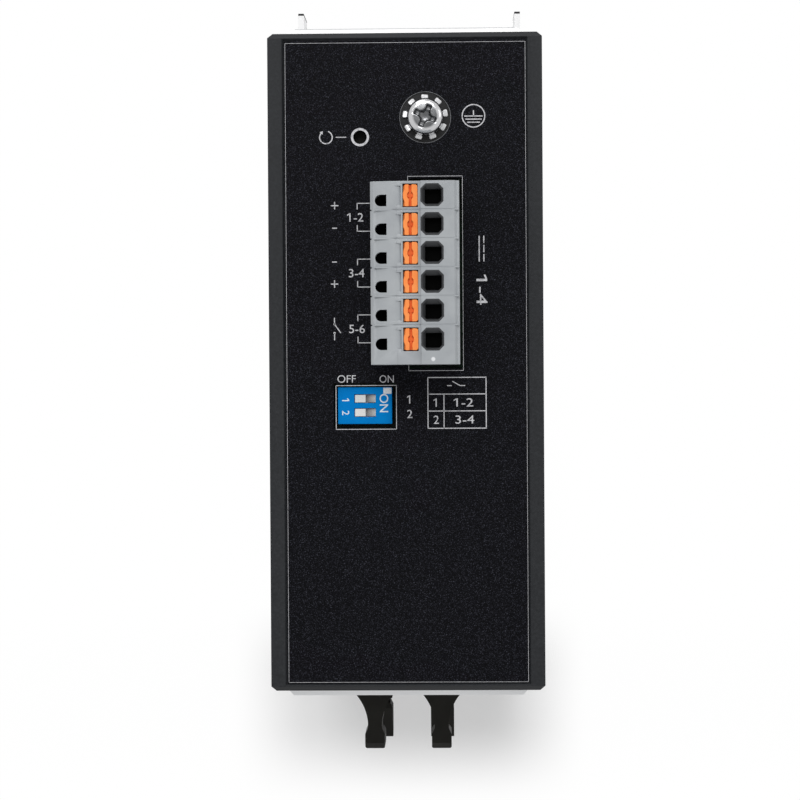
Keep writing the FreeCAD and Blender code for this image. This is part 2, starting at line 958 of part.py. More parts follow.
def alarm_relay():
    thick, depth, height = relay_size
    y, z = transformer_centre()
    y += transformer_size[1] / 2 + bobbin_overhang + component_gap + depth / 2
    relay = box(power_face, power_face + thick, y - depth / 2, y + depth / 2, z - height / 2, z + height / 2)
    rim = [edge for edge in relay.Edges if abs(edge.CenterOfMass.x - power_face - thick) < 0.01]
    return relay.makeFillet(relay_edge, rim)


# ---- terminal board, held under the top wall by four posts -------------------------------------------------------------
def link_pins():
    return [(i - (link_pin_count - 1) / 2) * link_pin_pitch for i in range(link_pin_count)]


def square_post(x, y, side, z0, z1):
    half = side / 2
    return box(x - half, x + half, y - half, y + half, z0, z1)


def terminal_board():
    y0, y1 = terminal_board_y
    board = box(terminal_x0, terminal_x1, y0, y1, terminal_foot, terminal_top)
    holes = []
    for y in poles:
        holes.append(square_post(header_x, y, pin_side + 2 * pin_hole_gap, terminal_foot, terminal_top))
    for y in link_pins():
        holes.append(square_post(link_x, y, link_pin_side + 2 * pin_gap, terminal_foot, terminal_top))
    return board.cut(holes)


def terminal_posts():
    posts = []
    for x, y in post_places:
        posts.append(bar(6, post_flats, (x, y, terminal_top), ceiling_z - terminal_top, (0, 0, 1)))
    return group(posts)


def board_link():
    half = link_pin_count * link_pin_pitch / 2
    base = box(board_face, board_face + link_thick, -half, half, main_top - link_grip, terminal_foot)
    pins = []
    for y in link_pins():
        pins.append(square_post(link_x, y, link_pin_side, terminal_foot - bite, terminal_top + reach))
    return joined([base] + pins)


def terminal_header():
    half_w = header_width / 2
    half_l = header_length / 2
    outer = box(header_x - half_w, header_x + half_w, header_y - half_l, header_y + half_l, terminal_top, header_top)
    wall = header_wall
    floor = terminal_top + header_floor
    cuts = [box(header_x - half_w + wall, header_x + half_w - wall, header_y - half_l + wall,
                header_y + half_l - wall, floor, header_top + reach)]
    for y in poles:
        cuts.append(square_post(header_x, y, pin_side + 2 * pin_gap, terminal_top, floor))
    return outer.cut(cuts)


def header_pins():
    pins = []
    half = pin_side / 2
    slim = pin_tip_side / 2
    top = panel_z - pin_sink
    shoulder = top - pin_tip
    for y in poles:
        shank = square_post(header_x, y, pin_side, terminal_foot - pin_tail, shoulder)
        base = flat_rect(header_x - half, header_x + half, y - half, y + half, shoulder)
        tip = flat_rect(header_x - slim, header_x + slim, y - slim, y + slim, top)
        pins.append(joined([shank, frustum(base, tip)]))
    return group(pins)


# ---- terminal plug: pulls straight up out of the header ------------------------------------------------------------------
def octagon(x, y, z, half, corner):
    c = half - corner
    return [(x - half, y - c, z), (x - c, y - half, z), (x + c, y - half, z), (x + half, y - c, z),
            (x + half, y + c, z), (x + c, y + half, z), (x - c, y + half, z), (x - half, y + c, z)]


def funnel_cutter(y, half, z_top):
    small = wire_hole_width / 2
    lower = octagon(funnel_x, y, z_top - funnel_depth, small + (half - funnel_width / 2), funnel_corner / 3)
    upper = octagon(funnel_x, y, z_top, half, funnel_corner)
    return frustum(lower, upper)


def plug_section():
    slope_end = band_top - plug_slope_drop
    lip_x = plug_x0 + plug_lip_width
    lip_z = plug_top - plug_lip_drop
    points = [
        (plug_x0, plug_foot),
        (plug_x1, plug_foot),
        (plug_x1, slope_end),
        (plug_x1 - plug_edge_bevel, slope_end + plug_edge_bevel),
        (band_x1, band_top + plug_slope_rise),
        (band_x1, band_top),
        (band_x0, band_top),
        (band_x0, plug_top),
        (lip_x, plug_top),
        (lip_x - plug_lip_slope, lip_z),
        (plug_x0, lip_z),
    ]
    return [(x, plug_y0, z) for x, z in points]


def plug_nose():
    gap = plug_nose_gap
    half_w = header_width / 2 - header_wall - gap
    y0 = header_y - header_length / 2 + header_wall + gap
    y1 = header_y + header_length / 2 - header_wall - gap
    return box(header_x - half_w, header_x + half_w, y0, y1, nose_foot, plug_foot + bite)


def button_well(y):
    gap = button_gap
    half_w = button_width / 2 + gap
    half_l = button_length / 2 + gap
    foot = band_top - button_sink - button_height - button_travel - button_well_floor
    return box(button_x - half_w, button_x + half_w, y - half_l, y + half_l, foot, band_top + reach)


def button_ramp(y):
    x0 = button_x + button_width / 2
    x1 = x0 + button_gap + button_ramp_length
    half = button_length / 2 - button_gap
    section = [
        (x0, y - half, band_top - button_ramp_depth),
        (x1, y - half, band_top + plug_slope_rise),
        (x1, y - half, band_top + reach),
        (x0, y - half, band_top + reach),
    ]
    return prism(section, (0, 2 * half, 0))


def test_hole(y):
    z0 = plug_top - test_hole_depth
    middle = y + test_hole_shift
    radius = test_hole_radius
    shaft = rod(radius, (test_x, middle, z0), test_hole_depth + reach, (0, 0, 1))
    square = box(test_x - radius, test_x, middle - radius, middle + radius, z0, plug_top + reach)
    return joined([shaft, square])


def clamp_spring(y, spare):
    x1 = button_x - button_width / 2 - button_gap - clamp_spring_gap
    half = clamp_spring_width / 2 + spare
    foot = plug_foot + clamp_spring_rise
    return box(x1 - clamp_spring_thick - spare, x1 + spare, y - half, y + half, foot, foot + clamp_spring_length)


def wire_hole(y, z0, z1):
    half_w = wire_hole_width / 2
    half_l = wire_hole_length / 2
    return box(funnel_x - half_w, funnel_x + half_w, y - half_l, y + half_l, z0, z1)


def plug_housing():
    body = prism(plug_section(), (0, plug_y1 - plug_y0, 0))
    body = body.fuse(plug_nose())
    cuts = []
    for y in poles:
        cuts.append(funnel_cutter(y, funnel_width / 2 + funnel_wall, plug_top))
        cuts.append(wire_hole(y, socket_top, plug_top))
        cuts.append(button_well(y))
        cuts.append(button_ramp(y))
        cuts.append(test_hole(y))
        cuts.append(clamp_spring(y, 0))
        cuts.append(square_post(header_x, y, socket_side, nose_foot - reach, socket_top))
    for y in poles[1:]:
        seam = y - pole_pitch / 2
        half = pole_groove / 2
        past = plug_top + reach
        end = plug_x1 + reach
        cuts.append(box(plug_x0 - reach, end, seam - half, seam + half, plug_top - pole_groove, past))
        cuts.append(box(plug_x1 - pole_groove, end, seam - half, seam + half, plug_foot - reach, past))
        cuts.append(box(band_x0, end, seam - half, seam + half, band_top - pole_groove, past))
    return body.cut(cuts).removeSplitter()


def wire_funnels():
    funnels = []
    for y in poles:
        outer = funnel_cutter(y, funnel_width / 2 + funnel_wall, plug_top)
        inner = funnel_cutter(y, funnel_width / 2, plug_top)
        funnels.append(outer.cut([inner, wire_hole(y, plug_foot, plug_top + reach)]))
    return group(funnels)


def plug_contacts():
    sockets = []
    for y in poles:
        block = square_post(header_x, y, socket_side, nose_foot + socket_sink, socket_top)
        well = square_post(header_x, y, pin_side + 2 * socket_gap, nose_foot, socket_top - socket_wall)
        slit = box(header_x - socket_slit / 2, header_x + socket_slit / 2, y - pin_side * 2, y + pin_side * 2,
                   nose_foot, plug_foot - 2 * reach)
        sockets.append(block.cut([well, slit]))
    return group(sockets)


def clamp_springs():
    return group([clamp_spring(y, -clamp_spring_gap) for y in poles])


def release_button(y):
    half_w = button_width / 2
    half_l = button_length / 2
    top = band_top - button_sink
    foot = top - button_height
    section = [
        (button_x - half_w, y - half_l, foot),
        (button_x + half_w / 2, y - half_l, foot),
        (button_x + half_w, y - half_l, foot + button_toe),
        (button_x + half_w, y - half_l, top - button_edge_drop),
        (button_x + half_w - button_edge, y - half_l, top),
        (button_x - half_w, y - half_l, top),
    ]
    body = prism(section, (0, button_length, 0))
    floor = top - button_mark_depth
    half = button_mark_width / 2
    along = box(button_x - half_w - reach, button_x + half_w + reach, y - half, y + half, floor, top + reach)
    half_n = button_notch_width / 2
    half = button_notch_length / 2
    across = box(button_x - half_n, button_x + half_n, y - half, y + half, floor, top + reach)
    return body.cut([along, across])


# ---- two-way switch block -------------------------------------------------------------------------------------------------
def dip_slot(y, z0, z1):
    half_l = dip_slot_length / 2
    half_w = dip_slot_width / 2
    return box(dip_x - half_l, dip_x + half_l, y - half_w, y + half_w, z0, z1)


def dip_housing():
    half_l = dip_length / 2
    half_w = dip_width / 2
    body = box(dip_x - half_l, dip_x + half_l, dip_y - half_w, dip_y + half_w, dip_foot, dip_top)
    wall = dip_wall
    well = box(dip_x - half_l + wall, dip_x + half_l - wall, dip_y - half_w + wall, dip_y + half_w - wall,
               dip_foot - reach, dip_top - dip_cover_thick)
    return body.cut([well] + [dip_slot(y, dip_foot, dip_top + reach) for y in dip_ways])


def dip_base():
    gap = dip_base_gap
    half_l = dip_length / 2 - dip_wall - gap
    half_w = dip_width / 2 - dip_wall - gap
    top = dip_top - dip_cover_thick - dip_foot_thick - dip_knob_gap - gap
    return box(dip_x - half_l, dip_x + half_l, dip_y - half_w, dip_y + half_w, dip_foot, top)


def dip_slider(y):
    gap = dip_knob_gap
    x1 = dip_x + dip_slot_length / 2 - gap
    x0 = x1 - dip_knob_length
    half = dip_slot_width / 2 - gap
    top = dip_top - dip_cover_thick - gap
    knob = box(x0, x1, y - half, y + half, top - bite, dip_top - dip_base_gap)
    foot_half = half + dip_foot_spread
    x0 = dip_x - dip_slot_length / 2 - dip_foot_overlap
    x1 = dip_x + dip_slot_length / 2 + dip_foot_overlap + dip_travel - gap
    foot = box(x0, x1, y - foot_half, y + foot_half, top - dip_foot_thick + gap, top)
    return joined([knob, foot])


def dip_socket():
    half = dip_row_spacing / 2
    length = dip_count * dip_pitch / 2
    rail = dip_rail_width / 2
    strips = []
    for x in (dip_x - half, dip_x + half):
        strips.append(box(x - rail, x + rail, dip_y - length, dip_y + length, terminal_top, dip_foot))
    wide = dip_bar_width / 2
    bridge_top = (terminal_top + dip_foot) / 2
    strips.append(box(dip_x - half, dip_x + half, dip_y - wide, dip_y + wide, terminal_top, bridge_top))
    return joined(strips)


# ---- reset button ------------------------------------------------------------------------------------------------------------
def reset_switch():
    half = reset_base_side / 2
    top = terminal_top + reset_base_height
    body = box(reset_x - half, reset_x + half, reset_y - half, reset_y + half, terminal_top, top)
    floor = terminal_top + reset_floor
    bore = rod(reset_stem_radius + reset_stem_gap, (reset_x, reset_y, floor), reset_base_height, (0, 0, 1))
    room = square_post(reset_x, reset_y, 2 * (reset_flange_half + reset_stem_gap), floor,
                       top - reset_cover_thick)
    return body.cut([bore, room])


def reset_button():
    flange_top = terminal_top + reset_base_height - reset_cover_thick - pin_gap
    stem_foot = flange_top - reset_flange_thick
    stem_top = ceiling_z - reset_top_gap
    flange = square_post(reset_x, reset_y, 2 * reset_flange_half, stem_foot, flange_top)
    stem = rod(reset_stem_radius, (reset_x, reset_y, stem_foot), stem_top - stem_foot, (0, 0, 1))
    return joined([flange, stem])


# ---- earth screw ----------------------------------------------------------------------------------------------------------------
def earth_screw():
    seat = recess_z + washer_thick
    radius = earth_head_radius
    height = earth_head_height
    profile = [
        V(0, 0, seat),
        V(radius, 0, seat),
        V(radius, 0, seat + height * 0.42),
        V(radius * 0.76, 0, seat + height * 0.84),
        V(radius * 0.34, 0, seat + height),
        V(0, 0, seat + height),
    ]
    head = flat_face(profile).revolve(V(0, 0, 0), V(0, 0, 1), 360)
    head.translate(V(earth_x, earth_y, 0))
    shank = bar(shank_sides, 2 * earth_shank_radius, (earth_x, earth_y, seat + bite), earth_length + bite,
                (0, 0, -1))
    recess = []
    for quarter in (0, 90):
        half = earth_cross_width / 2
        arm = box(-earth_cross_reach, earth_cross_reach, -half, half, -earth_cross_depth, reach)
        arm.rotate(V(0, 0, 0), V(0, 0, 1), earth_cross_turn + quarter)
        arm.translate(V(earth_x, earth_y, seat + height))
        recess.append(arm)
    return joined([head, shank]).cut(recess)


def earth_washer():
    corners = []
    step = 2 * math.pi / washer_teeth
    for tooth in range(washer_teeth):
        base = tooth * step + math.radians(washer_turn)
        for radius, share in ((washer_root_radius, -0.26), (washer_radius, -0.2), (washer_radius, 0.2),
                              (washer_root_radius, 0.26)):
            angle = base + share * step
            corners.append((earth_x + radius * math.cos(angle), earth_y + radius * math.sin(angle), recess_z))
    ring = prism(corners, (0, 0, washer_thick))
    return ring.cut(rod(washer_bore_radius, (earth_x, earth_y, recess_z), washer_thick, (0, 0, 1)))


def earth_nut():
    nut = bar(6, nut_flats, (earth_x, earth_y, ceiling_z - nut_height), nut_height, (0, 0, 1))
    bore = bar(shank_sides, 2 * earth_shank_radius, (earth_x, earth_y, ceiling_z - nut_height), nut_height,
               (0, 0, 1))
    return nut.cut(bore)


# ---- rail clip: two fixed hooks above, a sprung two-pronged latch below ------------------------------------------------------------
def on_clip_line(shape):
    return shape.translated(V(clip_shift, 0, 0))


def clip_screw_levels():
    return [rail_top - drop for drop in clip_screw_drops]


def arm_outline(x, z):
    tip = slot_y + arm_foot_depth
    neck_y = seat_y - 0.4
    r = arm_corner

    def at(dx, y):
        return V(x + dx, y, z)

    edges = []
    for side in (1, -1):
        root = at(side * arm_root, clip_y1 - bite)
        bend = at(side * (arm_neck + (arm_root - arm_neck) * 0.24), clip_y1 + (neck_y - clip_y1) * 0.48)
        neck = at(side * arm_neck, neck_y)
        waist = at(side * arm_neck, seat_y + 0.9)
        hip = at(side * arm_foot, slot_y + 0.7)
        toe = at(side * arm_foot, tip - r)
        corner = at(side * (arm_foot - r * 0.3), tip - r * 0.3)
        heel = at(side * (arm_foot - r), tip)
        run = [
            Part.Arc(root, bend, neck).toShape(),
            Part.makeLine(neck, waist),
            Part.makeLine(waist, hip),
            Part.makeLine(hip, toe),
            Part.Arc(toe, corner, heel).toShape(),
        ]
        edges += run
    edges.append(Part.makeLine(at(arm_foot - r, tip), at(-arm_foot + r, tip)))
    edges.append(Part.makeLine(at(arm_root, clip_y1 - bite), at(-arm_root, clip_y1 - bite)))
    wire = Part.Wire(Part.__sortEdges__(edges))
    return Part.Face(wire)


def clip_arm(x):
    foot = rail_top - arm_seat_length
    arm = arm_outline(x, foot).extrude(V(0, 0, clip_top - foot))
    wide = arm_root + reach
    edge = rail_top + rail_edge_gap
    slot = box(x - wide, x + wide, seat_y, slot_y, foot - reach, edge)
    nose_foot_z = rail_top - arm_nose
    tip_y = slot_y + arm_foot_depth
    behind = box(x - wide, x + wide, seat_y, tip_y + reach, foot - reach, nose_foot_z)
    lead = prism([
        (x - wide, slot_y, nose_foot_z),
        (x - wide, slot_y + hook_lead, nose_foot_z),
        (x - wide, slot_y, nose_foot_z + hook_lead),
    ], (2 * wide, 0, 0))
    crown = prism([
        (x - wide, tip_y, clip_top),
        (x - wide, tip_y, clip_top - hook_crown),
        (x - wide, tip_y - hook_crown, clip_top),
    ], (2 * wide, 0, 0))
    return arm.cut([slot, behind, lead, crown])


def clip_cheek(side):
    x0 = latch_half + latch_gap
    x1 = clip_half
    wall = box(x0, x1, clip_y1 - bite, seat_y, cheek_foot, cheek_top)
    lip = box(x0 - cheek_lip, x1, latch_y1 + latch_gap, seat_y, cheek_foot, cheek_top)
    cheek = wall.fuse(lip)
    if side < 0:
        cheek = other_side(cheek)
    return cheek


def rail_clip_body():
    plate = box(-clip_half, clip_half, clip_y0, clip_y1, cheek_foot, clip_top)
    corners = [e for e in plate.Edges if abs(e.CenterOfMass.y - (clip_y0 + clip_y1) / 2) < 0.01]
    plate = plate.makeFillet(clip_corner, corners)
    pieces = [plate]
    for x in arm_xs:
        pieces.append(clip_arm(x))
        wide = latch_prong / 2
        pieces.append(box(x - wide, x + wide, clip_y1 - bite, seat_y, rail_foot + latch_gap, rail_foot + clip_stop_height))
    for side in (1, -1):
        pieces.append(clip_cheek(side))
    ledge_half = window_half - latch_gap
    pieces.append(box(-ledge_half, ledge_half, clip_y1 - bite, latch_y1, ledge_foot, ledge_top))
    body = joined(pieces)
    cuts = []
    for z in clip_screw_levels():
        seat = clip_y1 - clip_screw_head_height
        cuts.append(bar(shank_sides, 2 * (clip_screw_radius + screw_gap), (0, clip_y0, z), clip_plate, (0, 1, 0)))
        cuts.append(rod(clip_screw_head_radius + screw_gap, (0, seat, z), clip_seat, (0, 1, 0)))
    return body.cut(cuts)


def clip_screws():
    screws = []
    for z in clip_screw_levels():
        seat = clip_y1 - clip_screw_head_height
        head = rod(clip_screw_head_radius, (0, seat, z), clip_screw_head_height, (0, 1, 0))
        shank = bar(shank_sides, 2 * clip_screw_radius, (0, seat, z), seat - back_y + clip_screw_grip, (0, -1, 0))
        screws.append(joined([head, shank]))
    return group(screws)


def latch_prong_piece(x):
    nose_top = rail_foot + latch_nose
    tip = slot_y + latch_reach
    side_x = x - latch_prong / 2
    slope = latch_nose / 2
    side = [
        (side_x, latch_y0, head_foot),
        (side_x, tip - slope, head_foot),
        (side_x, tip, head_foot + slope),
        (side_x, tip, head_foot + latch_nose),
        (side_x, slot_y + slope, nose_top),
        (side_x, slot_y, nose_top),
        (side_x, slot_y, head_top),
        (side_x, latch_y0, head_top),
    ]
    prong = prism(side, (latch_prong, 0, 0))
    waist = []
    waist_y = (seat_y + slot_y) / 2 - latch_waist_setback
    height = nose_top - head_foot + 2 * reach
    for edge_side in (1, -1):
        waist_x = x + edge_side * (latch_prong / 2 + latch_waist_radius - latch_waist_depth)
        waist.append(rod(latch_waist_radius, (waist_x, waist_y, head_foot - reach), height, (0, 0, 1)))
    return prong.cut(waist)


def rail_latch():
    slide_foot = cheek_foot - 2 * reach
    tail_foot = window_foot - tail_drop
    step = latch_y1 + latch_toe_step
    head = box(-latch_head_half, latch_head_half, latch_y0, latch_y1 + latch_head_step, head_foot, head_top)
    slide = box(-latch_half, latch_half, latch_y0, latch_y1, slide_foot, head_foot + bite)
    tail = box(-tail_half, tail_half, latch_y0, latch_y1, tail_foot, slide_foot + bite)
    toe = box(-tail_half, tail_half, latch_y0, step, tail_foot, tail_foot + latch_toe_rise)
    body = joined([head, slide, tail, toe] + [latch_prong_piece(x) for x in arm_xs])
    window = box(-window_half, window_half, latch_y0 - reach, step, window_foot, window_top)
    half_w, half_h = pry_slot[0] / 2, pry_slot[1] / 2
    pry_z = tail_foot + pry_rise
    pry = box(-half_w, half_w, latch_y0 - reach, step, pry_z - half_h, pry_z + half_h)
    return body.cut([window, pry])


def latch_spring():
    height = window_top - ledge_top - spring_wire - 2 * spring_end_gap
    lead = height / spring_turns
    middle = spring_radius - spring_wire / 2
    slope = math.atan2(lead, 2 * math.pi * middle)
    corners = []
    for i in range(6):
        angle = math.radians(60 * i)
        across = spring_wire / 2 * math.sin(angle)
        corners.append(V(middle + spring_wire / 2 * math.cos(angle), -across * math.sin(slope),
                         across * math.cos(slope)))
    helix = Part.makeHelix(lead, height, middle)
    ring = Part.makePolygon(corners + corners[:1])
    coil = Part.Wire(helix.Edges).makePipeShell([ring], True, True)
    coil.translate(V(0, (latch_y0 + latch_y1) / 2, ledge_top + spring_end_gap + spring_wire / 2))
    return coil


# ---- the parts and their names ---------------------------------------------------------------------------------------------------
def all_parts():
    parts = {
        "case_sleeve": case_sleeve(),
        "top_label": top_label(),
        "front_panel": front_panel(),
        "guard_edging": guard_edging(),
        "front_screws": plate_screws(front_y, -1),
        "rear_plate": rear_plate(),
        "rear_screws": plate_screws(back_y, 1),
        "light_pipes": light_pipes(),
        "status_leds": status_leds(),
        "main_board": main_board(),
        "power_board": power_board(),
        "board_standoffs": board_standoffs(),
        "board_screws": board_screws(),
        "switch_chip": switch_chip(),
        "chip_heat_sink": chip_heat_sink(),
        "port_transformers": port_transformers(),
        "bulk_capacitors": bulk_capacitors(),
        "power_transformer": power_transformer(),
        "power_inductors": power_inductors(),
        "alarm_relay": alarm_relay(),
        "terminal_board": terminal_board(),
        "terminal_posts": terminal_posts(),
        "board_link": board_link(),
        "terminal_header": terminal_header(),
        "header_pins": header_pins(),
        "plug_housing": plug_housing(),
        "wire_funnels": wire_funnels(),
        "plug_contacts": plug_contacts(),
        "clamp_springs": clamp_springs(),
        "dip_housing": dip_housing(),
        "dip_base": dip_base(),
        "dip_socket": dip_socket(),
        "reset_switch": reset_switch(),
        "reset_button": reset_button(),
        "earth_screw": earth_screw(),
        "earth_washer": earth_washer(),
        "earth_nut": earth_nut(),
        "rail_clip_body": on_clip_line(rail_clip_body()),
        "clip_screws": on_clip_line(clip_screws()),
        "rail_latch": on_clip_line(rail_latch()),
        "latch_spring": on_clip_line(latch_spring()),
    }
    for name, make in (("jack_body", jack_body), ("jack_shield", jack_shield), ("jack_contacts", jack_contacts),
                       ("sfp_cage", sfp_cage), ("sfp_connector", sfp_connector)):
        shape = make()
        parts[name + "_left"] = shape
        parts[name + "_right"] = other_side(shape)
    for i, y in enumerate(poles):
        parts["release_button_%d" % (i + 1)] = release_button(y)
    for i, y in enumerate(dip_ways):
        parts["dip_slider_%d" % (i + 1)] = dip_slider(y)
    return parts


os.makedirs("parts", exist_ok=True)
for name, shape in all_parts().items():
    shape.exportStep("parts/" + name + ".step")
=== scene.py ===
import json
import math

import bmesh
import bpy
from mathutils import Matrix, Vector

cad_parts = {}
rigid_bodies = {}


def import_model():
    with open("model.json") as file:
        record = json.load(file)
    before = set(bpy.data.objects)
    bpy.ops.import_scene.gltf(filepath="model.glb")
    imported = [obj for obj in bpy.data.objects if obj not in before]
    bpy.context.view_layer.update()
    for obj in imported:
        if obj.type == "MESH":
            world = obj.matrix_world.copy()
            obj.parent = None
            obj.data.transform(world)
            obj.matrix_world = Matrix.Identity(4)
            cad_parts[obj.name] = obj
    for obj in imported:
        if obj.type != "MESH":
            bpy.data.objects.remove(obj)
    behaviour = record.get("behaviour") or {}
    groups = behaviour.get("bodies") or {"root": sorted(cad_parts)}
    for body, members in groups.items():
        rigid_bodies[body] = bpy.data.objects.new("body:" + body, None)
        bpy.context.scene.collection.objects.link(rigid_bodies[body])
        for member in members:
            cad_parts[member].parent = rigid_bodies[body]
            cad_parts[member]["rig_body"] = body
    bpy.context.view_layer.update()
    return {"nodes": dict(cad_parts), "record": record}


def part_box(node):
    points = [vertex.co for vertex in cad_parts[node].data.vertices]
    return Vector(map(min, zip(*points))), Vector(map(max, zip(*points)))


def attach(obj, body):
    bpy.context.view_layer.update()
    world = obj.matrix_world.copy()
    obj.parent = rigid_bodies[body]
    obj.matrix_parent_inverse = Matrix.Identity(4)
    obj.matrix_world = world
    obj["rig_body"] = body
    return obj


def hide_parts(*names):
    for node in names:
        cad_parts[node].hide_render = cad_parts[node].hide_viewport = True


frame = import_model()
nodes = frame["nodes"]

# Everything below is worked out in millimetres and made real with MM.
MM = 0.001
UP = Vector((0, 0, 1))
INK_HEIGHT = 0.03
INK_LINE = 0.2
FINE_LINE = 0.8 * INK_LINE
BEVEL_ANGLE = 30
SMOOTH_ANGLE = 35


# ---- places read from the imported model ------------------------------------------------
def span(node):
    low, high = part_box(node)
    return low / MM, high / MM


def middle(node):
    low, high = span(node)
    return (low + high) / 2


case_low, case_high = span("case_sleeve")
label_low, label_high = span("top_label")
label_top = label_high.z
ink_top = label_top + INK_HEIGHT
panel_face_y = case_low.y - 1.3
screw_mid = middle("earth_screw")
screw_low, screw_high = span("earth_screw")
washer_low, washer_high = span("earth_washer")
reset_mid = middle("reset_button")
dip_low, dip_high = span("dip_housing")
dip_mid = (dip_low + dip_high) / 2
header_low, header_high = span("terminal_header")
header_mid = (header_low + header_high) / 2
plug_low, plug_high = span("plug_housing")
button_boxes = [span("release_button_%d" % (i + 1)) for i in range(6)]
pole_ys = [(low.y + high.y) / 2 for low, high in button_boxes]
pole_pitch = pole_ys[1] - pole_ys[0]
# The moulded caps sit a little off the middle of their buttons and stand above them.
cap_shift = 0.16
cap_rise = 0.1
groove_depth = 0.75
# The throat of each wire entry is off the middle of its mouth.
throat_x, throat_y = -0.16, 0.2
throat_level = -0.95


# ---- finishes -------------------------------------------------------------------------------
def srgb(r, g, b):
    """A colour as it is mixed on screen, 0 to 255, made linear for the shaders."""
    out = []
    for v in (r, g, b):
        v /= 255
        out.append(v / 12.92 if v <= 0.04045 else ((v + 0.055) / 1.055) ** 2.4)
    return (*out, 1.0)


class Finish:
    """One procedural surface, built up node by node on Object coordinates."""

    def __init__(self, name, roughness=0.5, metallic=0.0, specular=0.5):
        self.material = bpy.data.materials.new(name)
        self.material.use_nodes = True
        self.tree = self.material.node_tree
        self.shader = self.tree.nodes["Principled BSDF"]
        self.set("Roughness", roughness)
        self.set("Metallic", metallic)
        self.set("Specular IOR Level", specular)
        self.where = self.tree.nodes.new("ShaderNodeTexCoord").outputs["Object"]
        self.bumps = None

    def set(self, socket, value):
        self.shader.inputs[socket].default_value = value

    def link(self, a, b):
        self.tree.links.new(a, b)

    def noise(self, scale, detail=2.0, rough=0.5, stretch=(1, 1, 1), distortion=0.0):
        mapping = self.tree.nodes.new("ShaderNodeMapping")
        mapping.inputs["Scale"].default_value = stretch
        self.link(self.where, mapping.inputs["Vector"])
        node = self.tree.nodes.new("ShaderNodeTexNoise")
        node.inputs["Scale"].default_value = scale
        node.inputs["Detail"].default_value = detail
        node.inputs["Roughness"].default_value = rough
        node.inputs["Distortion"].default_value = distortion
        self.link(mapping.outputs["Vector"], node.inputs["Vector"])
        return node.outputs["Fac"]

    def cell_edges(self, scale):
        node = self.tree.nodes.new("ShaderNodeTexVoronoi")
        node.feature = "DISTANCE_TO_EDGE"
        node.inputs["Scale"].default_value = scale
        self.link(self.where, node.inputs["Vector"])
        return node.outputs["Distance"]

    def ramp(self, value, stops):
        node = self.tree.nodes.new("ShaderNodeValToRGB")
        marks = node.color_ramp.elements
        while len(marks) < len(stops):
            marks.new(0.5)
        for mark, (place, colour) in zip(marks, stops):
            mark.position = place
            mark.color = colour
        self.link(value, node.inputs["Fac"])
        return node.outputs["Color"]

    def mix(self, factor, a, b):
        node = self.tree.nodes.new("ShaderNodeMix")
        node.data_type = "RGBA"
        for socket, value in ((node.inputs[0], factor), (node.inputs[6], a), (node.inputs[7], b)):
            if hasattr(value, "links"):
                self.link(value, socket)
            else:
                socket.default_value = value
        return node.outputs[2]

    def axis(self, name):
        """Place along X, Y or Z, in metres."""
        node = self.tree.nodes.new("ShaderNodeSeparateXYZ")
        self.link(self.where, node.inputs["Vector"])
        return node.outputs[name]

    def distance(self, point, flat=False):
        """Distance from a point in millimetres; flat leaves the height out."""
        where = self.where
        if flat:
            flatten = self.tree.nodes.new("ShaderNodeVectorMath")
            flatten.operation = "MULTIPLY"
            flatten.inputs[1].default_value = (1, 1, 0)
            self.link(where, flatten.inputs[0])
            where = flatten.outputs["Vector"]
        node = self.tree.nodes.new("ShaderNodeVectorMath")
        node.operation = "DISTANCE"
        node.inputs[1].default_value = [v * MM for v in point]
        self.link(where, node.inputs[0])
        return node.outputs["Value"]

    def spread(self, value, low, high, start=0.3, end=0.7):
        node = self.tree.nodes.new("ShaderNodeMapRange")
        for name, number in (("From Min", start), ("From Max", end), ("To Min", low), ("To Max", high)):
            node.inputs[name].default_value = number
        self.link(value, node.inputs["Value"])
        return node.outputs["Result"]

    def colour(self, value):
        self.link(value, self.shader.inputs["Base Color"])
        return self

    def gloss(self, value):
        self.link(value, self.shader.inputs["Roughness"])
        return self

    def relief(self, value, strength, depth):
        node = self.tree.nodes.new("ShaderNodeBump")
        node.inputs["Strength"].default_value = strength
        node.inputs["Distance"].default_value = depth * MM
        self.link(value, node.inputs["Height"])
        if self.bumps is not None:
            self.link(self.bumps, node.inputs["Normal"])
        self.bumps = node.outputs["Normal"]
        self.link(self.bumps, self.shader.inputs["Normal"])
        return self


def moulded(name, low, high, roughness, specular=0.5, grain=2600, bump=0.15, clouds=120):
    """Moulded plastic: slow tone drift, fine spark-eroded grain, slightly uneven gloss."""
    skin = Finish(name, roughness, specular=specular)
    skin.colour(skin.ramp(skin.noise(clouds, 3), [(0.35, low), (0.65, high)]))
    fine = skin.noise(grain, 2)
    skin.gloss(skin.spread(fine, roughness - 0.06, roughness + 0.06))
    skin.relief(fine, bump, 0.03)
    return skin.material


def plug_resin():
    """Grey polyamide, with a small pale spot on the end strip."""
    pale_spot_centre = (-5.02, -0.38, plug_high.z)
    spot_inner, spot_outer = 0.25, 0.45
    skin = Finish("plug_polyamide", 0.44, specular=0.42)
    tone = skin.ramp(skin.noise(210, 3), [(0.35, srgb(157, 161, 165)), (0.65, srgb(168, 172, 175))])
    # a lighter colour inside a small circle on the end strip
    spot = skin.spread(skin.distance(pale_spot_centre), 1.0, 0.0, spot_inner * MM, spot_outer * MM)
    skin.colour(skin.mix(spot, tone, srgb(226, 228, 230)))
    fine = skin.noise(1500, 2)
    skin.gloss(skin.spread(fine, 0.38, 0.5))
    skin.relief(fine, 0.12, 0.03)
    return skin.material


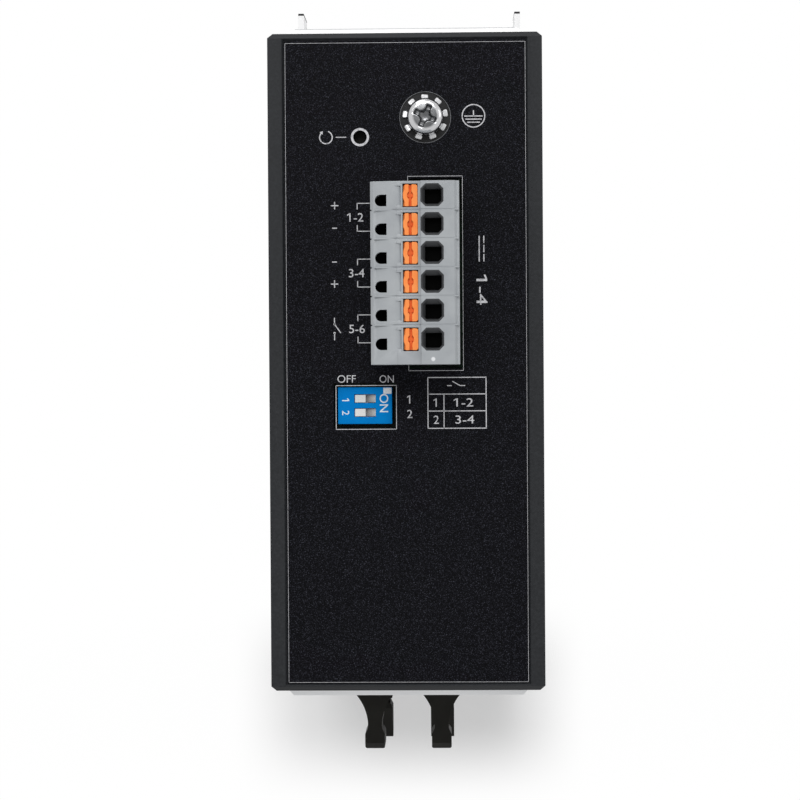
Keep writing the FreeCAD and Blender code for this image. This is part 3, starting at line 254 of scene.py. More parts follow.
def sheet_metal(name, low, high, roughness, grain=900, stretch=(1, 1, 12), metallic=1.0):
    """Rolled or plated sheet: streaks along one direction and faint stains."""
    skin = Finish(name, roughness, metallic=metallic)
    streaks = skin.noise(grain, 4, 0.6, stretch)
    stains = skin.noise(90, 3)
    tone = skin.mix(stains, low, high)
    skin.colour(skin.mix(0.35, tone, skin.ramp(streaks, [(0.3, low), (0.7, high)])))
    skin.gloss(skin.spread(streaks, roughness - 0.08, roughness + 0.1))
    skin.relief(streaks, 0.08, 0.01)
    return skin.material


def powder_coat():
    """Fine-textured black powder coat on the case."""
    skin = Finish("case_coat", 0.5, specular=0.28)
    fine = skin.noise(2300, 3, 0.6)
    drift = skin.noise(60, 2)
    tone = skin.ramp(fine, [(0.3, srgb(24, 26, 29)), (0.5, srgb(32, 34, 37)), (0.72, srgb(42, 44, 47))])
    skin.colour(skin.mix(skin.spread(drift, 0.0, 0.3), tone, srgb(37, 39, 42)))
    skin.gloss(skin.spread(fine, 0.42, 0.6))
    skin.relief(fine, 0.22, 0.05)
    return skin.material


def grained_film():
    """Embossed matt film: near black, with sparse pale glints painted into its colour where the grain would
    catch light.
    """
    skin = Finish("label_film", 0.66, specular=0.08)
    fine = skin.noise(5600, 2, 0.7)
    coarse = skin.noise(1500, 3, 0.6)
    # painted glints: the palest stops of this ramp stand in for light caught by the grain
    painted_glints = [(0.0, srgb(2, 2, 4)), (0.42, srgb(0, 0, 2))]
    painted_glints += [(0.57, srgb(12, 12, 17)), (0.74, srgb(90, 92, 104))]
    base = skin.ramp(fine, painted_glints)
    shade = skin.ramp(coarse, [(0.36, srgb(1, 1, 2)), (0.6, srgb(17, 17, 23))])
    skin.colour(skin.mix(0.36, base, shade))
    skin.gloss(skin.spread(coarse, 0.5, 0.75))
    skin.relief(fine, 0.5, 0.06)
    skin.relief(coarse, 0.3, 0.08)
    return skin.material


def ink(name, low, high):
    """Screen-printed ink: thin, slightly broken by the grain of the film below it."""
    skin = Finish(name, 0.6, specular=0.3)
    skin.colour(skin.ramp(skin.noise(2600, 3, 0.6), [(0.3, low), (0.52, high)]))
    skin.relief(skin.noise(3100, 2), 0.15, 0.02)
    return skin.material


def bright_plating(name, roughness, low, high):
    """Plated metal with soft tone changes and fine scratches."""
    skin = Finish(name, roughness, metallic=1.0)
    soft = skin.noise(420, 3)
    scratches = skin.noise(2400, 4, 0.7, (1, 7, 1), 1.5)
    skin.colour(skin.mix(soft, low, high))
    skin.gloss(skin.spread(scratches, roughness - 0.05, roughness + 0.12))
    skin.relief(soft, 0.12, 0.06)
    skin.relief(scratches, 0.05, 0.01)
    return skin.material


def shaded_slot():
    """White resin with painted shade: grey that deepens towards the knob, down in the slot."""
    ramp_start, ramp_end = dip_mid.x - 1.95, dip_mid.x - 0.1
    skin = Finish("slot_resin", 0.6, specular=0.05)
    along = skin.spread(skin.axis("X"), 0.0, 1.0, ramp_start * MM, ramp_end * MM)
    cloud = skin.spread(skin.noise(1500, 2), 0.0, 0.12)
    # painted shade: the resin turns darker grey along X towards the knob
    shades = [(0.05, srgb(206, 204, 200)), (0.55, srgb(168, 166, 162)), (1.0, srgb(136, 134, 130))]
    skin.colour(skin.mix(cloud, skin.ramp(along, shades), srgb(214, 212, 208)))
    return skin.material


def head_plating():
    """Nickel plate on the earth screw, with a painted reflection: dark on the flat of the crown, bright on
    the shoulder.
    """
    dark_crown_radius, bright_shoulder_radius = 2.05, 2.4
    skin = Finish("head_nickel", 0.18, metallic=1.0)
    away = skin.distance((screw_mid.x, screw_mid.y, 0), flat=True)
    shoulder_sheen_mask = skin.spread(away, 0.0, 1.0, dark_crown_radius * MM, bright_shoulder_radius * MM)
    soft = skin.noise(520, 3)
    flat = skin.ramp(soft, [(0.35, srgb(112, 113, 115)), (0.65, srgb(146, 147, 149))])
    # painted reflection: the crown's colour is darker and the shoulder's near white, standing in for what
    # they mirror
    skin.colour(skin.mix(shoulder_sheen_mask, flat, srgb(240, 240, 242)))
    skin.gloss(skin.spread(shoulder_sheen_mask, 0.3, 0.2, 0.0, 1.0))
    skin.relief(soft, 0.05, 0.03)
    return skin.material


def circuit_green():
    """Green board mask over a faint net of tracks."""
    skin = Finish("board_mask", 0.35, specular=0.5)
    weave = skin.noise(900, 2, 0.5, (1, 1, 3))
    runs = skin.cell_edges(220)
    tracks = skin.ramp(runs, [(0.02, srgb(24, 92, 52)), (0.05, srgb(14, 62, 36))])
    skin.colour(skin.mix(skin.spread(weave, 0.0, 0.3), tracks, srgb(30, 84, 50)))
    skin.relief(runs, 0.2, 0.05)
    return skin.material


def clear_resin():
    """Clear moulded resin with a slight haze."""
    skin = Finish("light_resin", 0.12, specular=0.5)
    skin.set("Transmission Weight", 0.6)
    skin.colour(skin.ramp(skin.noise(300, 2), [(0.3, srgb(216, 222, 220)), (0.7, srgb(236, 240, 238))]))
    return skin.material


def light_lenses():
    """Tinted lenses: green on one side of the middle, amber on the other."""
    low, high = span("light_pipes")
    middle_x = (low.x + high.x) / 2
    skin = Finish("light_lenses", 0.2, specular=0.5)
    side = skin.spread(skin.axis("X"), 0.0, 1.0, (middle_x - 0.1) * MM, middle_x * MM)
    green = skin.ramp(skin.noise(600, 2), [(0.3, srgb(104, 176, 104)), (0.7, srgb(130, 198, 124))])
    skin.colour(skin.mix(side, green, srgb(222, 170, 74)))
    return skin.material


even_grain = (1, 1, 1)
finishes = {
    "case_black": powder_coat(),
    "label_black": grained_film(),
    "panel_pale": moulded("panel_paint", srgb(206, 207, 209), srgb(211, 212, 214), 0.5, bump=0.1),
    "edging_black": moulded("edging_rubber", srgb(20, 20, 22), srgb(32, 32, 34), 0.6),
    "plate_steel": sheet_metal("zinc_plate", srgb(232, 233, 235), srgb(247, 248, 249), 0.42, metallic=0.2),
    "screw_steel": bright_plating("screw_nickel", 0.16, srgb(196, 197, 200), srgb(236, 236, 238)),
    "board_green": circuit_green(),
    "post_brass": bright_plating("nickel_brass", 0.25, srgb(196, 176, 120), srgb(222, 204, 150)),
    "shield_tin": sheet_metal("tinned_shield", srgb(184, 186, 190), srgb(214, 216, 220), 0.24,
                              1300, (1, 14, 1)),
    "plastic_black": moulded("black_nylon", srgb(24, 23, 20), srgb(33, 32, 29), 0.55, 0.12, 1900, 0.2),
    "can_blue": moulded("can_sleeve", srgb(22, 40, 74), srgb(34, 56, 98), 0.3),
    "sink_aluminium": sheet_metal("bead_blast", srgb(150, 152, 156), srgb(186, 188, 192), 0.45,
                                   700, even_grain),
    "plug_grey": plug_resin(),
    "light_clear": clear_resin(),
    "led_white": moulded("led_package", srgb(214, 214, 206), srgb(232, 232, 226), 0.4),
    "switch_blue": moulded("switch_shell", srgb(0, 122, 200), srgb(0, 130, 208), 0.5, 0.04, 1500, 0.06, 260),
    "knob_white": moulded("knob_resin", srgb(214, 215, 214), srgb(232, 232, 230), 0.4, 0.4, 1600, 0.08),
    "button_orange": moulded("button_acetal", srgb(253, 142, 70), srgb(255, 156, 86), 0.4,
                             0.2, 1500, 0.05, 300),
}
# finishes of pieces that are added here
print_white = ink("print_white", srgb(150, 150, 154), srgb(203, 203, 206))
print_bright = ink("print_bright", srgb(205, 220, 232), srgb(236, 242, 246))
# painted shade: darker orange for the floors of the button grooves
groove_painted_shade = moulded("groove_acetal", srgb(222, 96, 38), srgb(236, 112, 50), 0.5, 0.2, 1500, 0.08, 300)
funnel_black = moulded("funnel_nylon", srgb(56, 57, 59), srgb(66, 67, 69), 0.6, 0.12, 1700, 0.1)
# painted shade: near black for the cups that line the deep holes
pit_painted_shade = moulded("pit_lining", srgb(3, 3, 3), srgb(7, 7, 7), 0.8, 0.05)
bare_coat = moulded("bare_coat", srgb(14, 14, 15), srgb(24, 24, 26), 0.5, 0.3)
# pale resin of the front tabs, also used as painted light on the panel's top bevel
tab_pale = moulded("tab_pale", srgb(250, 250, 250), srgb(255, 255, 255), 0.6, specular=0.1, bump=0.03)
# painted shade for the thin grey strip where the panel's top bevel turns down
edge_grey = moulded("edge_grey", srgb(206, 207, 209), srgb(218, 219, 221), 0.6, bump=0.03)
# painted shade on the floor of each switch slot
slot_painted_shade = shaded_slot()
print_dark = ink("print_dark", srgb(52, 54, 58), srgb(70, 72, 76))
edge_print = ink("edge_print", srgb(78, 79, 82), srgb(116, 117, 120))
contact_gold = bright_plating("contact_gold", 0.22, srgb(206, 164, 78), srgb(236, 198, 112))
head_nickel = head_plating()
washer_zinc = sheet_metal("washer_zinc", srgb(226, 227, 229), srgb(248, 248, 249), 0.36,
                          700, even_grain, 0.5)
spring_wire = bright_plating("spring_wire", 0.24, srgb(150, 151, 154), srgb(196, 197, 200))
lens_tones = light_lenses()
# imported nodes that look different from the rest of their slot
own_finish = {
    "jack_contacts_left": contact_gold,
    "jack_contacts_right": contact_gold,
    "latch_spring": spring_wire,
    "clamp_springs": spring_wire,
    "light_pipes": lens_tones,
}



# ---- shapes -----------------------------------------------------------------------------------
class Shape:
    """A mesh in the making, in millimetres."""

    def __init__(self):
        self.bm = bmesh.new()

    def faces(self, points, faces):
        corners = [self.bm.verts.new(p) for p in points]
        return [self.bm.faces.new([corners[i] for i in face]) for face in faces]

    def box(self, x0, x1, y0, y1, z0, z1):
        """A plain block."""
        return self.prism([(x0, y0), (x1, y0), (x1, y1), (x0, y1)], z0, z1)

    def prism(self, outline, z0, z1):
        """An outline in X and Y, carried from z0 to z1."""
        n = len(outline)
        points = [(x, y, z0) for x, y in outline] + [(x, y, z1) for x, y in outline]
        sides = [(i, (i + 1) % n, n + (i + 1) % n, n + i) for i in range(n)]
        self.faces(points, [tuple(reversed(range(n))), tuple(range(n, 2 * n))] + sides)
        return self

    def rings(self, rings, close=True):
        """Skin over rings of equal count; the ends are capped."""
        n = len(rings[0])
        points = [p for ring in rings for p in ring]
        faces = []
        for level in range(len(rings) - 1):
            for i in range(n):
                j = (i + 1) % n
                a = level * n
                faces.append((a + i, a + j, a + n + j, a + n + i))
        if close:
            faces.append(tuple(reversed(range(n))))
            faces.append(tuple(range((len(rings) - 1) * n, len(rings) * n)))
        self.faces(points, faces)
        return self

    def lathe(self, profile, x, y, steps=64):
        """Profile of (radius, height), from the axis or a rim to the axis or a rim."""
        columns = []
        for radius, z in profile:
            if radius < 1e-6:
                columns.append([self.bm.verts.new((x, y, z))])
                continue
            ring = []
            for i in range(steps):
                angle = 2 * math.pi * i / steps
                corner = (x + radius * math.cos(angle), y + radius * math.sin(angle), z)
                ring.append(self.bm.verts.new(corner))
            columns.append(ring)
        for a, b in zip(columns, columns[1:]):
            for i in range(steps):
                j = (i + 1) % steps
                corners = [a[i % len(a)], a[j % len(a)], b[j % len(b)], b[i % len(b)]]
                face = []
                for corner in corners:
                    if corner not in face:
                        face.append(corner)
                if len(face) > 2:
                    self.bm.faces.new(face)
        return self

    def washer(self, x, y, inner, outer, z0, z1, steps=64):
        """A flat ring, or a disc where inner is 0."""
        return self.lathe([(inner, z0), (outer, z0), (outer, z1), (inner, z1), (inner, z0)], x, y, steps)

    def stroke(self, x0, y0, x1, y1, width, z0, z1):
        """A straight bar of one width between two points."""
        along = Vector((x1 - x0, y1 - y0)).normalized()
        side = Vector((-along.y, along.x)) * width / 2
        a, b = Vector((x0, y0)), Vector((x1, y1))
        return self.prism([tuple(a - side), tuple(b - side), tuple(b + side), tuple(a + side)], z0, z1)

    def add_mesh(self, mesh, place):
        count = len(self.bm.verts)
        self.bm.from_mesh(mesh)
        self.bm.verts.ensure_lookup_table()
        for vert in self.bm.verts[count:]:
            vert.co = place @ vert.co
        return self

    def mesh(self, name):
        """Closes the seams, turns the faces outwards and makes a mesh in metres."""
        bmesh.ops.remove_doubles(self.bm, verts=self.bm.verts, dist=0.0005)
        bmesh.ops.recalc_face_normals(self.bm, faces=self.bm.faces)
        if self.bm.calc_volume(signed=True) < 0:
            bmesh.ops.reverse_faces(self.bm, faces=self.bm.faces)
        self.bm.transform(Matrix.Scale(MM, 4))
        mesh = bpy.data.meshes.new(name)
        self.bm.to_mesh(mesh)
        self.bm.free()
        return mesh


def settle(obj):
    """Turns an object with modifiers into a plain mesh."""
    bpy.context.view_layer.update()
    done = bpy.data.meshes.new_from_object(obj.evaluated_get(bpy.context.evaluated_depsgraph_get()))
    done.name = obj.name
    obj.modifiers.clear()
    obj.data = done
    return obj


def round_edges(obj, width, segments):
    """Bevels every edge sharper than BEVEL_ANGLE."""
    bevel = obj.modifiers.new("round", "BEVEL")
    bevel.width = width * MM
    bevel.segments = segments
    bevel.limit_method = "ANGLE"
    bevel.angle_limit = math.radians(BEVEL_ANGLE)
    bevel.use_clamp_overlap = True
    bevel.harden_normals = True
    return settle(obj)


def smooth(mesh, angle=SMOOTH_ANGLE):
    mesh.shade_smooth()
    mesh.set_sharp_from_angle(angle=math.radians(angle))


def piece(name, shape, body, slot, material=None, edge=0.0, segments=2, hides=()):
    """Makes a finished object of a shape or a mesh, and tells the frame what it belongs to."""
    mesh = shape if isinstance(shape, bpy.types.Mesh) else shape.mesh(name)
    obj = bpy.data.objects.new(name, mesh)
    bpy.context.scene.collection.objects.link(obj)
    smooth(mesh, BEVEL_ANGLE if edge else SMOOTH_ANGLE)
    if edge:
        round_edges(obj, edge, segments)
    obj.data.materials.clear()
    obj.data.materials.append(material or finishes[slot])
    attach(obj, body)
    if hides:
        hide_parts(*hides)
    return obj


def clean_copy(node):
    """A merged copy of a CAD node's mesh, with flat areas made whole."""
    bm = bmesh.new()
    bm.from_mesh(nodes[node].data)
    bmesh.ops.remove_doubles(bm, verts=bm.verts, dist=2e-6)
    bmesh.ops.dissolve_limit(bm, angle_limit=math.radians(0.4), verts=bm.verts, edges=bm.edges)
    mesh = bpy.data.meshes.new(node + "_soft")
    bm.to_mesh(mesh)
    bm.free()
    return mesh


def softened(node, width, segments=2):
    """Takes a CAD node's place with a copy whose edges are rounded."""
    body = nodes[node]["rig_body"]
    return piece(node + "_soft", clean_copy(node), body, slots[node], None, width, segments, (node,))


slots = {entry["node"]: entry["material_slot"] for entry in frame["record"]["subparts"]}


# ---- repeated pieces, set out by geometry nodes ------------------------------------------------
def repeat_tree(name):
    """Puts one part at every vertex of a set-out mesh, each turned a little about its own axis."""
    tree = bpy.data.node_groups.new(name, "GeometryNodeTree")
    sockets = {}
    for label, kind in (("Places", "Geometry"), ("Part", "Object"), ("Axis turn", "Float"), ("Seed", "Int"),
                        ("Finish", "Material"), ("Result", "Geometry")):
        way = "OUTPUT" if label == "Result" else "INPUT"
        sockets[label] = tree.interface.new_socket(label, in_out=way, socket_type="NodeSocket" + kind)
    group_in = tree.nodes.new("NodeGroupInput")
    group_out = tree.nodes.new("NodeGroupOutput")
    part = tree.nodes.new("GeometryNodeObjectInfo")
    chance = tree.nodes.new("FunctionNodeRandomValue")
    chance.data_type = "FLOAT"
    angles = tree.nodes.new("ShaderNodeCombineXYZ")
    stamp = tree.nodes.new("GeometryNodeInstanceOnPoints")
    real = tree.nodes.new("GeometryNodeRealizeInstances")
    dress = tree.nodes.new("GeometryNodeSetMaterial")
    link = tree.links.new
    link(group_in.outputs["Part"], part.inputs["Object"])
    link(group_in.outputs["Places"], stamp.inputs["Points"])
    link(part.outputs["Geometry"], stamp.inputs["Instance"])
    link(group_in.outputs["Axis turn"], chance.inputs[3])
    link(group_in.outputs["Seed"], chance.inputs["Seed"])
    link(chance.outputs[1], angles.inputs["Z"])
    link(angles.outputs["Vector"], stamp.inputs["Rotation"])
    link(stamp.outputs["Instances"], real.inputs["Geometry"])
    link(real.outputs["Geometry"], dress.inputs["Geometry"])
    link(group_in.outputs["Finish"], dress.inputs["Material"])
    link(dress.outputs["Geometry"], group_out.inputs["Result"])
    return tree, {label: socket.identifier for label, socket in sockets.items()}


repeat, repeat_socket = repeat_tree("set_out")


def set_out(name, part_mesh, places, turn, axis_turn, seed, material):
    """A mesh of part_mesh repeated at places. turn takes the part's own +Z to where it faces."""
    part = bpy.data.objects.new(name + "_part", part_mesh)
    spots = bpy.data.meshes.new(name)
    back = turn.inverted()
    spots.from_pydata([back @ (Vector(p) * MM) for p in places], [], [])
    obj = bpy.data.objects.new(name, spots)
    bpy.context.scene.collection.objects.link(obj)
    grow = obj.modifiers.new("set out", "NODES")
    grow.node_group = repeat
    grow[repeat_socket["Part"]] = part
    grow[repeat_socket["Axis turn"]] = axis_turn
    grow[repeat_socket["Seed"]] = seed
    grow[repeat_socket["Finish"]] = material
    settle(obj)
    mesh = obj.data
    mesh.transform(turn)
    bpy.data.objects.remove(obj)
    bpy.data.objects.remove(part)
    smooth(mesh)
    return mesh


# ---- lettering and line work printed on the film --------------------------------------------------
def add_flag(mesh, x, y):
    """The flag at the top of a figure one."""
    shape = Shape()
    shape.bm.from_mesh(mesh)
    flag = [(x + 0.1, y - 0.02), (x + 0.1, y - 1.2), (x - 1.75, y - 2.25), (x - 1.75, y - 1.25)]
    shape.prism(flag, -0.05, 0.05)
    shape.bm.to_mesh(mesh)
    shape.bm.free()


def letters(text, height, weight=0.0):
    """A mesh of plain lettering, centred, so many millimetres high."""
    curve = bpy.data.curves.new("letters", "FONT")
    curve.body = text
    curve.size = 10
    curve.extrude = 0.05
    curve.offset = weight
    curve.resolution_u = 6
    obj = bpy.data.objects.new("letters", curve)
    bpy.context.scene.collection.objects.link(obj)
    bpy.context.view_layer.update()
    mesh = bpy.data.meshes.new_from_object(obj.evaluated_get(bpy.context.evaluated_depsgraph_get()))
    bpy.data.objects.remove(obj)
    xs = [v.co.x for v in mesh.vertices]
    ys = [v.co.y for v in mesh.vertices]
    if text[0] == "1":
        add_flag(mesh, min(xs), max(ys))
    scale = height / (max(ys) - min(ys))
    mesh.transform(Matrix.Translation((-(min(xs) + max(xs)) / 2, -(min(ys) + max(ys)) / 2, 0)))
    mesh.transform(Matrix.Diagonal((scale, scale, 1, 1)))
    return mesh


def write(shape, text, x, y, height, z=None, turn=180, squeeze=1.0, weight=0.0):
    """Lettering centred at x, y. A turn of 180 reads with the ports away from the reader."""
    mesh = letters(text, height, weight)
    level = (ink_top if z is None else z) - INK_HEIGHT / 2
    place = Matrix.Translation((x, y, level)) @ Matrix.Rotation(math.radians(turn), 4, "Z")
    place = place @ Matrix.Diagonal((squeeze, 1, 0.3, 1))
    return shape.add_mesh(mesh, place)


def frame_lines(shape, x0, x1, y0, y1, width):
    """The outline of a rectangle."""
    half = width / 2
    for y in (y0, y1):
        line(shape, x0 - half, y, x1 + half, y, width)
    for x in (x0, x1):
        line(shape, x, y0, x, y1, width)
    return shape


def line(shape, x0, y0, x1, y1, width):
    return shape.stroke(x0, y0, x1, y1, width, label_top, ink_top)


def contact_symbol(shape, x, y, size, width):
    """An open relay contact: two leads and a tilted arm, leads running along Y."""
    foot, head = y - size * 0.42, y + size * 0.36
    line(shape, x, y - size, x, foot, width)
    line(shape, x, head, x, y + size, width)
    line(shape, x, foot, x - size * 0.56, head, width)
    for end in (foot, head):
        shape.washer(x, end, 0, width * 1.1, label_top, ink_top, 20)
    return shape


def earth_symbol(shape, x, y, radius, width):
    """The earth sign in its circle: a stem and three bars."""
    stem_end = y + radius * 0.02
    shape.washer(x, y, radius - width / 2, radius + width / 2, label_top, ink_top, 72)
    line(shape, x, y - radius * 0.5, x, stem_end, width)
    for i, length in enumerate((3.35, 2.95, 2.35)):
        level = stem_end + i * 0.56
        line(shape, x - length / 2, level, x + length / 2, level, width)
    return shape


def restart_symbol(shape, x, y, radius, width):
    """A circular arrow with a gap before its head."""
    steps, start, sweep = 40, -40, 290
    inner, outer = [], []
    for i in range(steps + 1):
        angle = math.radians(start + sweep * i / steps)
        for rim, r in ((inner, radius - width / 2), (outer, radius + width / 2)):
            rim.append((x + r * math.cos(angle), y + r * math.sin(angle)))
    for i in range(steps):
        shape.prism([inner[i], outer[i], outer[i + 1], inner[i + 1]], label_top, ink_top)
    angle = math.radians(start)
    tip = Vector((x, y)) + Vector((math.cos(angle), math.sin(angle))) * radius
    along = Vector((math.sin(angle), -math.cos(angle)))
    side = Vector((math.cos(angle), math.sin(angle)))
    points = [tip + side * width * 1.7, tip + along * width * 2.6, tip - side * width * 1.7]
    shape.prism([tuple(p) for p in points], label_top, ink_top)
    return shape


def label_prints():
    """All that is printed on the top film."""
    shape = Shape()
    # outline of the film and of the plug's cut-out
    frame_lines(shape, label_low.x + 0.07, label_high.x - 0.22, label_low.y + 0.45, label_high.y - 0.15, 0.06)
    cutout_half = 17.7
    cutout_x0, cutout_x1 = header_mid.x - 5.0, header_mid.x + 4.95
    frame_lines(shape, cutout_x0, cutout_x1, header_mid.y - cutout_half, header_mid.y + cutout_half, 0.09)
    # reset
    ring_inner, ring_outer, arrow_away = 1.24, 1.66, 6.2
    shape.washer(reset_mid.x, reset_mid.y, ring_inner, ring_outer, label_top, ink_top, 64)
    restart_symbol(shape, reset_mid.x + arrow_away, reset_mid.y, 1.15, INK_LINE)
    line(shape, reset_mid.x + 4.4, reset_mid.y, reset_mid.x + 2.5, reset_mid.y, FINE_LINE)
    # earth
    earth_symbol(shape, screw_mid.x - 8.78, screw_mid.y - 0.2, 2.05, INK_LINE)
    # plug: polarity
    plus_arm, minus_arm, plus_gap = 0.68, 0.44, 0.1
    for x, y, sign in ((12.89, -28.56, "+"), (12.93, -24.46, "-"), (12.97, -18.3, "-"), (12.99, -14.29, "+")):
        arm = plus_arm if sign == "+" else minus_arm
        line(shape, x - arm, y, x + arm, y, INK_LINE)
        if sign == "+":
            line(shape, x, y - arm, x, y - plus_gap, INK_LINE)
            line(shape, x, y + plus_gap, x, y + arm, INK_LINE)
    contact_symbol(shape, 13.05, -6.1, 2.05, 0.9 * INK_LINE)
    # plug: a bracket and the pole numbers for each pair
    plug_side = plug_high.x - 0.2
    bracket_x, number_x, hook, pole_offset = 8.78, 8.95, 1.12, 0.35
    for pair, words in enumerate(("1-2", "3-4", "5-6")):
        y0 = pole_ys[2 * pair] + pole_offset
        y1 = pole_ys[2 * pair + 1] + pole_offset
        for y, inward in ((y0, 1), (y1, -1)):
            line(shape, plug_side, y, bracket_x, y, FINE_LINE)
            line(shape, bracket_x, y - inward * FINE_LINE / 2, bracket_x, y + inward * hook, FINE_LINE)
        write(shape, words, number_x, (y0 + y1) / 2, 1.55, squeeze=1.05, weight=0.02)
    # supply: direct current, poles 1 to 4
    supply_x, supply_y0, supply_y1 = header_mid.x - 8.44, -22.9, -18.2
    dash, dash_pitch = 1.34, 1.68
    line(shape, supply_x + 0.45, supply_y0, supply_x + 0.45, supply_y1, INK_LINE)
    for i in range(3):
        start = supply_y0 + i * dash_pitch
        line(shape, supply_x - 0.4, start, supply_x - 0.4, start + dash, INK_LINE)
    write(shape, "1-4", supply_x, -12.7, 2.0, turn=90, squeeze=1.5, weight=0.02)
    # switch block
    frame_lines(shape, dip_mid.x - 5.75, dip_mid.x + 5.25, dip_mid.y - 3.68, dip_mid.y + 4.3, 0.12)
    write(shape, "OFF", dip_mid.x + 3.3, dip_mid.y - 4.9, 1.36, squeeze=1.02, weight=-0.02)
    write(shape, "ON", dip_mid.x - 4.0, dip_mid.y - 4.85, 1.36, squeeze=0.9, weight=-0.02)
    for way, y in (("1", -1.1), ("2", 1.55)):
        write(shape, way, dip_mid.x - 8.17, dip_mid.y + y, 1.5, weight=0.01)
    # table: contact, and which poles each way watches
    table_line = 0.17
    x0, x1, y0, y1 = -14.5, -3.9, 2.86, 12.12
    heading_end, row_end, column_x, sign_y = 5.89, 8.97, -6.82, 4.35
    frame_lines(shape, x0, x1, y0, y1, table_line)
    line(shape, x0, heading_end, x1, heading_end, table_line)
    line(shape, x0, row_end, x1, row_end, table_line)
    line(shape, column_x, heading_end, column_x, y1, table_line)
    line(shape, -7.4, sign_y, -8.25, sign_y, table_line)
    line(shape, -9.75, sign_y, -10.7, sign_y, table_line)
    line(shape, -9.75, sign_y, -8.35, sign_y - 0.8, table_line)
    for row_y, way, poles in ((7.42, "1", "1-2"), (10.55, "2", "3-4")):
        write(shape, way, -5.4, row_y, 1.5)
        write(shape, poles, -10.6, row_y, 1.5, squeeze=1.3)
    return shape


# ---- earth screw ------------------------------------------------------------------------------------
def earth_screw_piece():
    """Pan head with a cross recess: a fine polar grid, pushed down inside the recess."""
    shape = Shape()
    seat = washer_high.z
    top = screw_high.z
    radius = (screw_high.x - screw_low.x) / 2
    flat = 2.12
    shank_radius = 1.9
    arm_reach, arm_half, arm_depth = 2.0, 0.36, 0.95
    steps = 144
    turn = math.radians(-24)

    def crown(r):
        if r <= flat:
            return top - 0.1 * (r / flat) ** 3
        t = min(1.0, (r - flat) / (radius - flat))
        return top - 0.1 - 1.25 * (1 - math.sqrt(1 - 0.86 * t * t))

    def recess(x, y):
        u = x * math.cos(turn) + y * math.sin(turn)
        v = -x * math.sin(turn) + y * math.cos(turn)
        depth = 0.0
        for a, b in ((u, v), (v, u)):
            along = 1 / (1 + (abs(a) / arm_reach) ** 22)
            width = arm_half + 0.3 * math.exp(-((abs(a) - 0.55) / 0.5) ** 2) + 0.1 * max(0.0, abs(a) - 1.2)
            depth = max(depth, along / (1 + (abs(b) / width) ** 12))
        inner = max(0.0, 1 - (math.hypot(u, v) / 1.25) ** 3)
        return depth * (arm_depth + 0.5 * inner)

    recess_grid = [i * 0.052 for i in range(42)]
    shoulder_grid = [2.17, 2.24, 2.34, 2.46, 2.6, 2.74, 2.88, 3.0, 3.1, 3.18, 3.225, radius]
    rings = []
    for r in recess_grid + shoulder_grid:
        ring = []
        for k in range(steps):
            angle = 2 * math.pi * k / steps
            x, y = r * math.cos(angle), r * math.sin(angle)
            ring.append((screw_mid.x + x, screw_mid.y + y, crown(r) - recess(x, y)))
        rings.append(ring)
    rings.append([(x, y, seat + 0.12) for x, y, z in rings[-1]])
    foot = [screw_mid.lerp(Vector(corner), 0.97) for corner in rings[-1]]
    rings.append([(corner.x, corner.y, seat) for corner in foot])
    shape.rings(rings, close=False)
    shape.faces(rings[-1], [tuple(range(steps))])
    shank = [(0, seat + 0.05), (shank_radius, seat + 0.05), (shank_radius, screw_low.z), (0, screw_low.z)]
    shape.lathe(shank, screw_mid.x, screw_mid.y, 48)
    return shape


def washer_pieces():
    """Toothed lock washer: a flat ring, with nine twisted teeth set round it."""
    teeth = 9
    # rings along a tooth: reach, half width, lean and half thickness
    tooth = ((3.1, 0.4, 0.0, 0.1), (3.36, 0.46, 0.05, 0.1), (3.44, 0.58, 0.12, 0.15),
             (3.52, 0.62, 0.14, 0.17), (3.92, 0.62, 0.17, 0.16), (4.05, 0.58, 0.17, 0.12),
             (4.12, 0.46, 0.15, 0.07))
    ring = Shape()
    z0, z1 = washer_low.z, washer_high.z
    mid = (z0 + z1) / 2
    ring.washer(screw_mid.x, screw_mid.y, 2.2, 3.2, z0 + 0.08, z1 - 0.02, 96)
    for i in range(teeth):
        angle = 2 * math.pi * i / teeth + math.radians(71)
        out = Vector((math.cos(angle), math.sin(angle), 0))
        side = Vector((-out.y, out.x, 0))
        centre = Vector((screw_mid.x, screw_mid.y, 0))
        rings = []
        for reach, half, lean, thick in tooth:
            row = []
            for across, level in ((-1, -1), (1, -1), (1, 0.2), (0.8, 1), (-0.8, 1), (-1, 0.2)):
                z = min(max(mid + level * thick + across * lean, z0), z1)
                row.append(tuple(centre + out * reach + side * across * half + UP * z))
            rings.append(row)
        ring.rings(rings)
    return ring


def bare_ring():
    """The ring of bare case round the washer, inside the film's round hole."""
    level = case_high.z - 0.5
    return Shape().washer(screw_mid.x, screw_mid.y, 2.3, 4.55, level, level + INK_HEIGHT, 72)


def film_edge():
    """The cut edge of the film round the screw."""
    return Shape().washer(screw_mid.x, screw_mid.y, 4.6, 4.69, label_top, ink_top, 96)


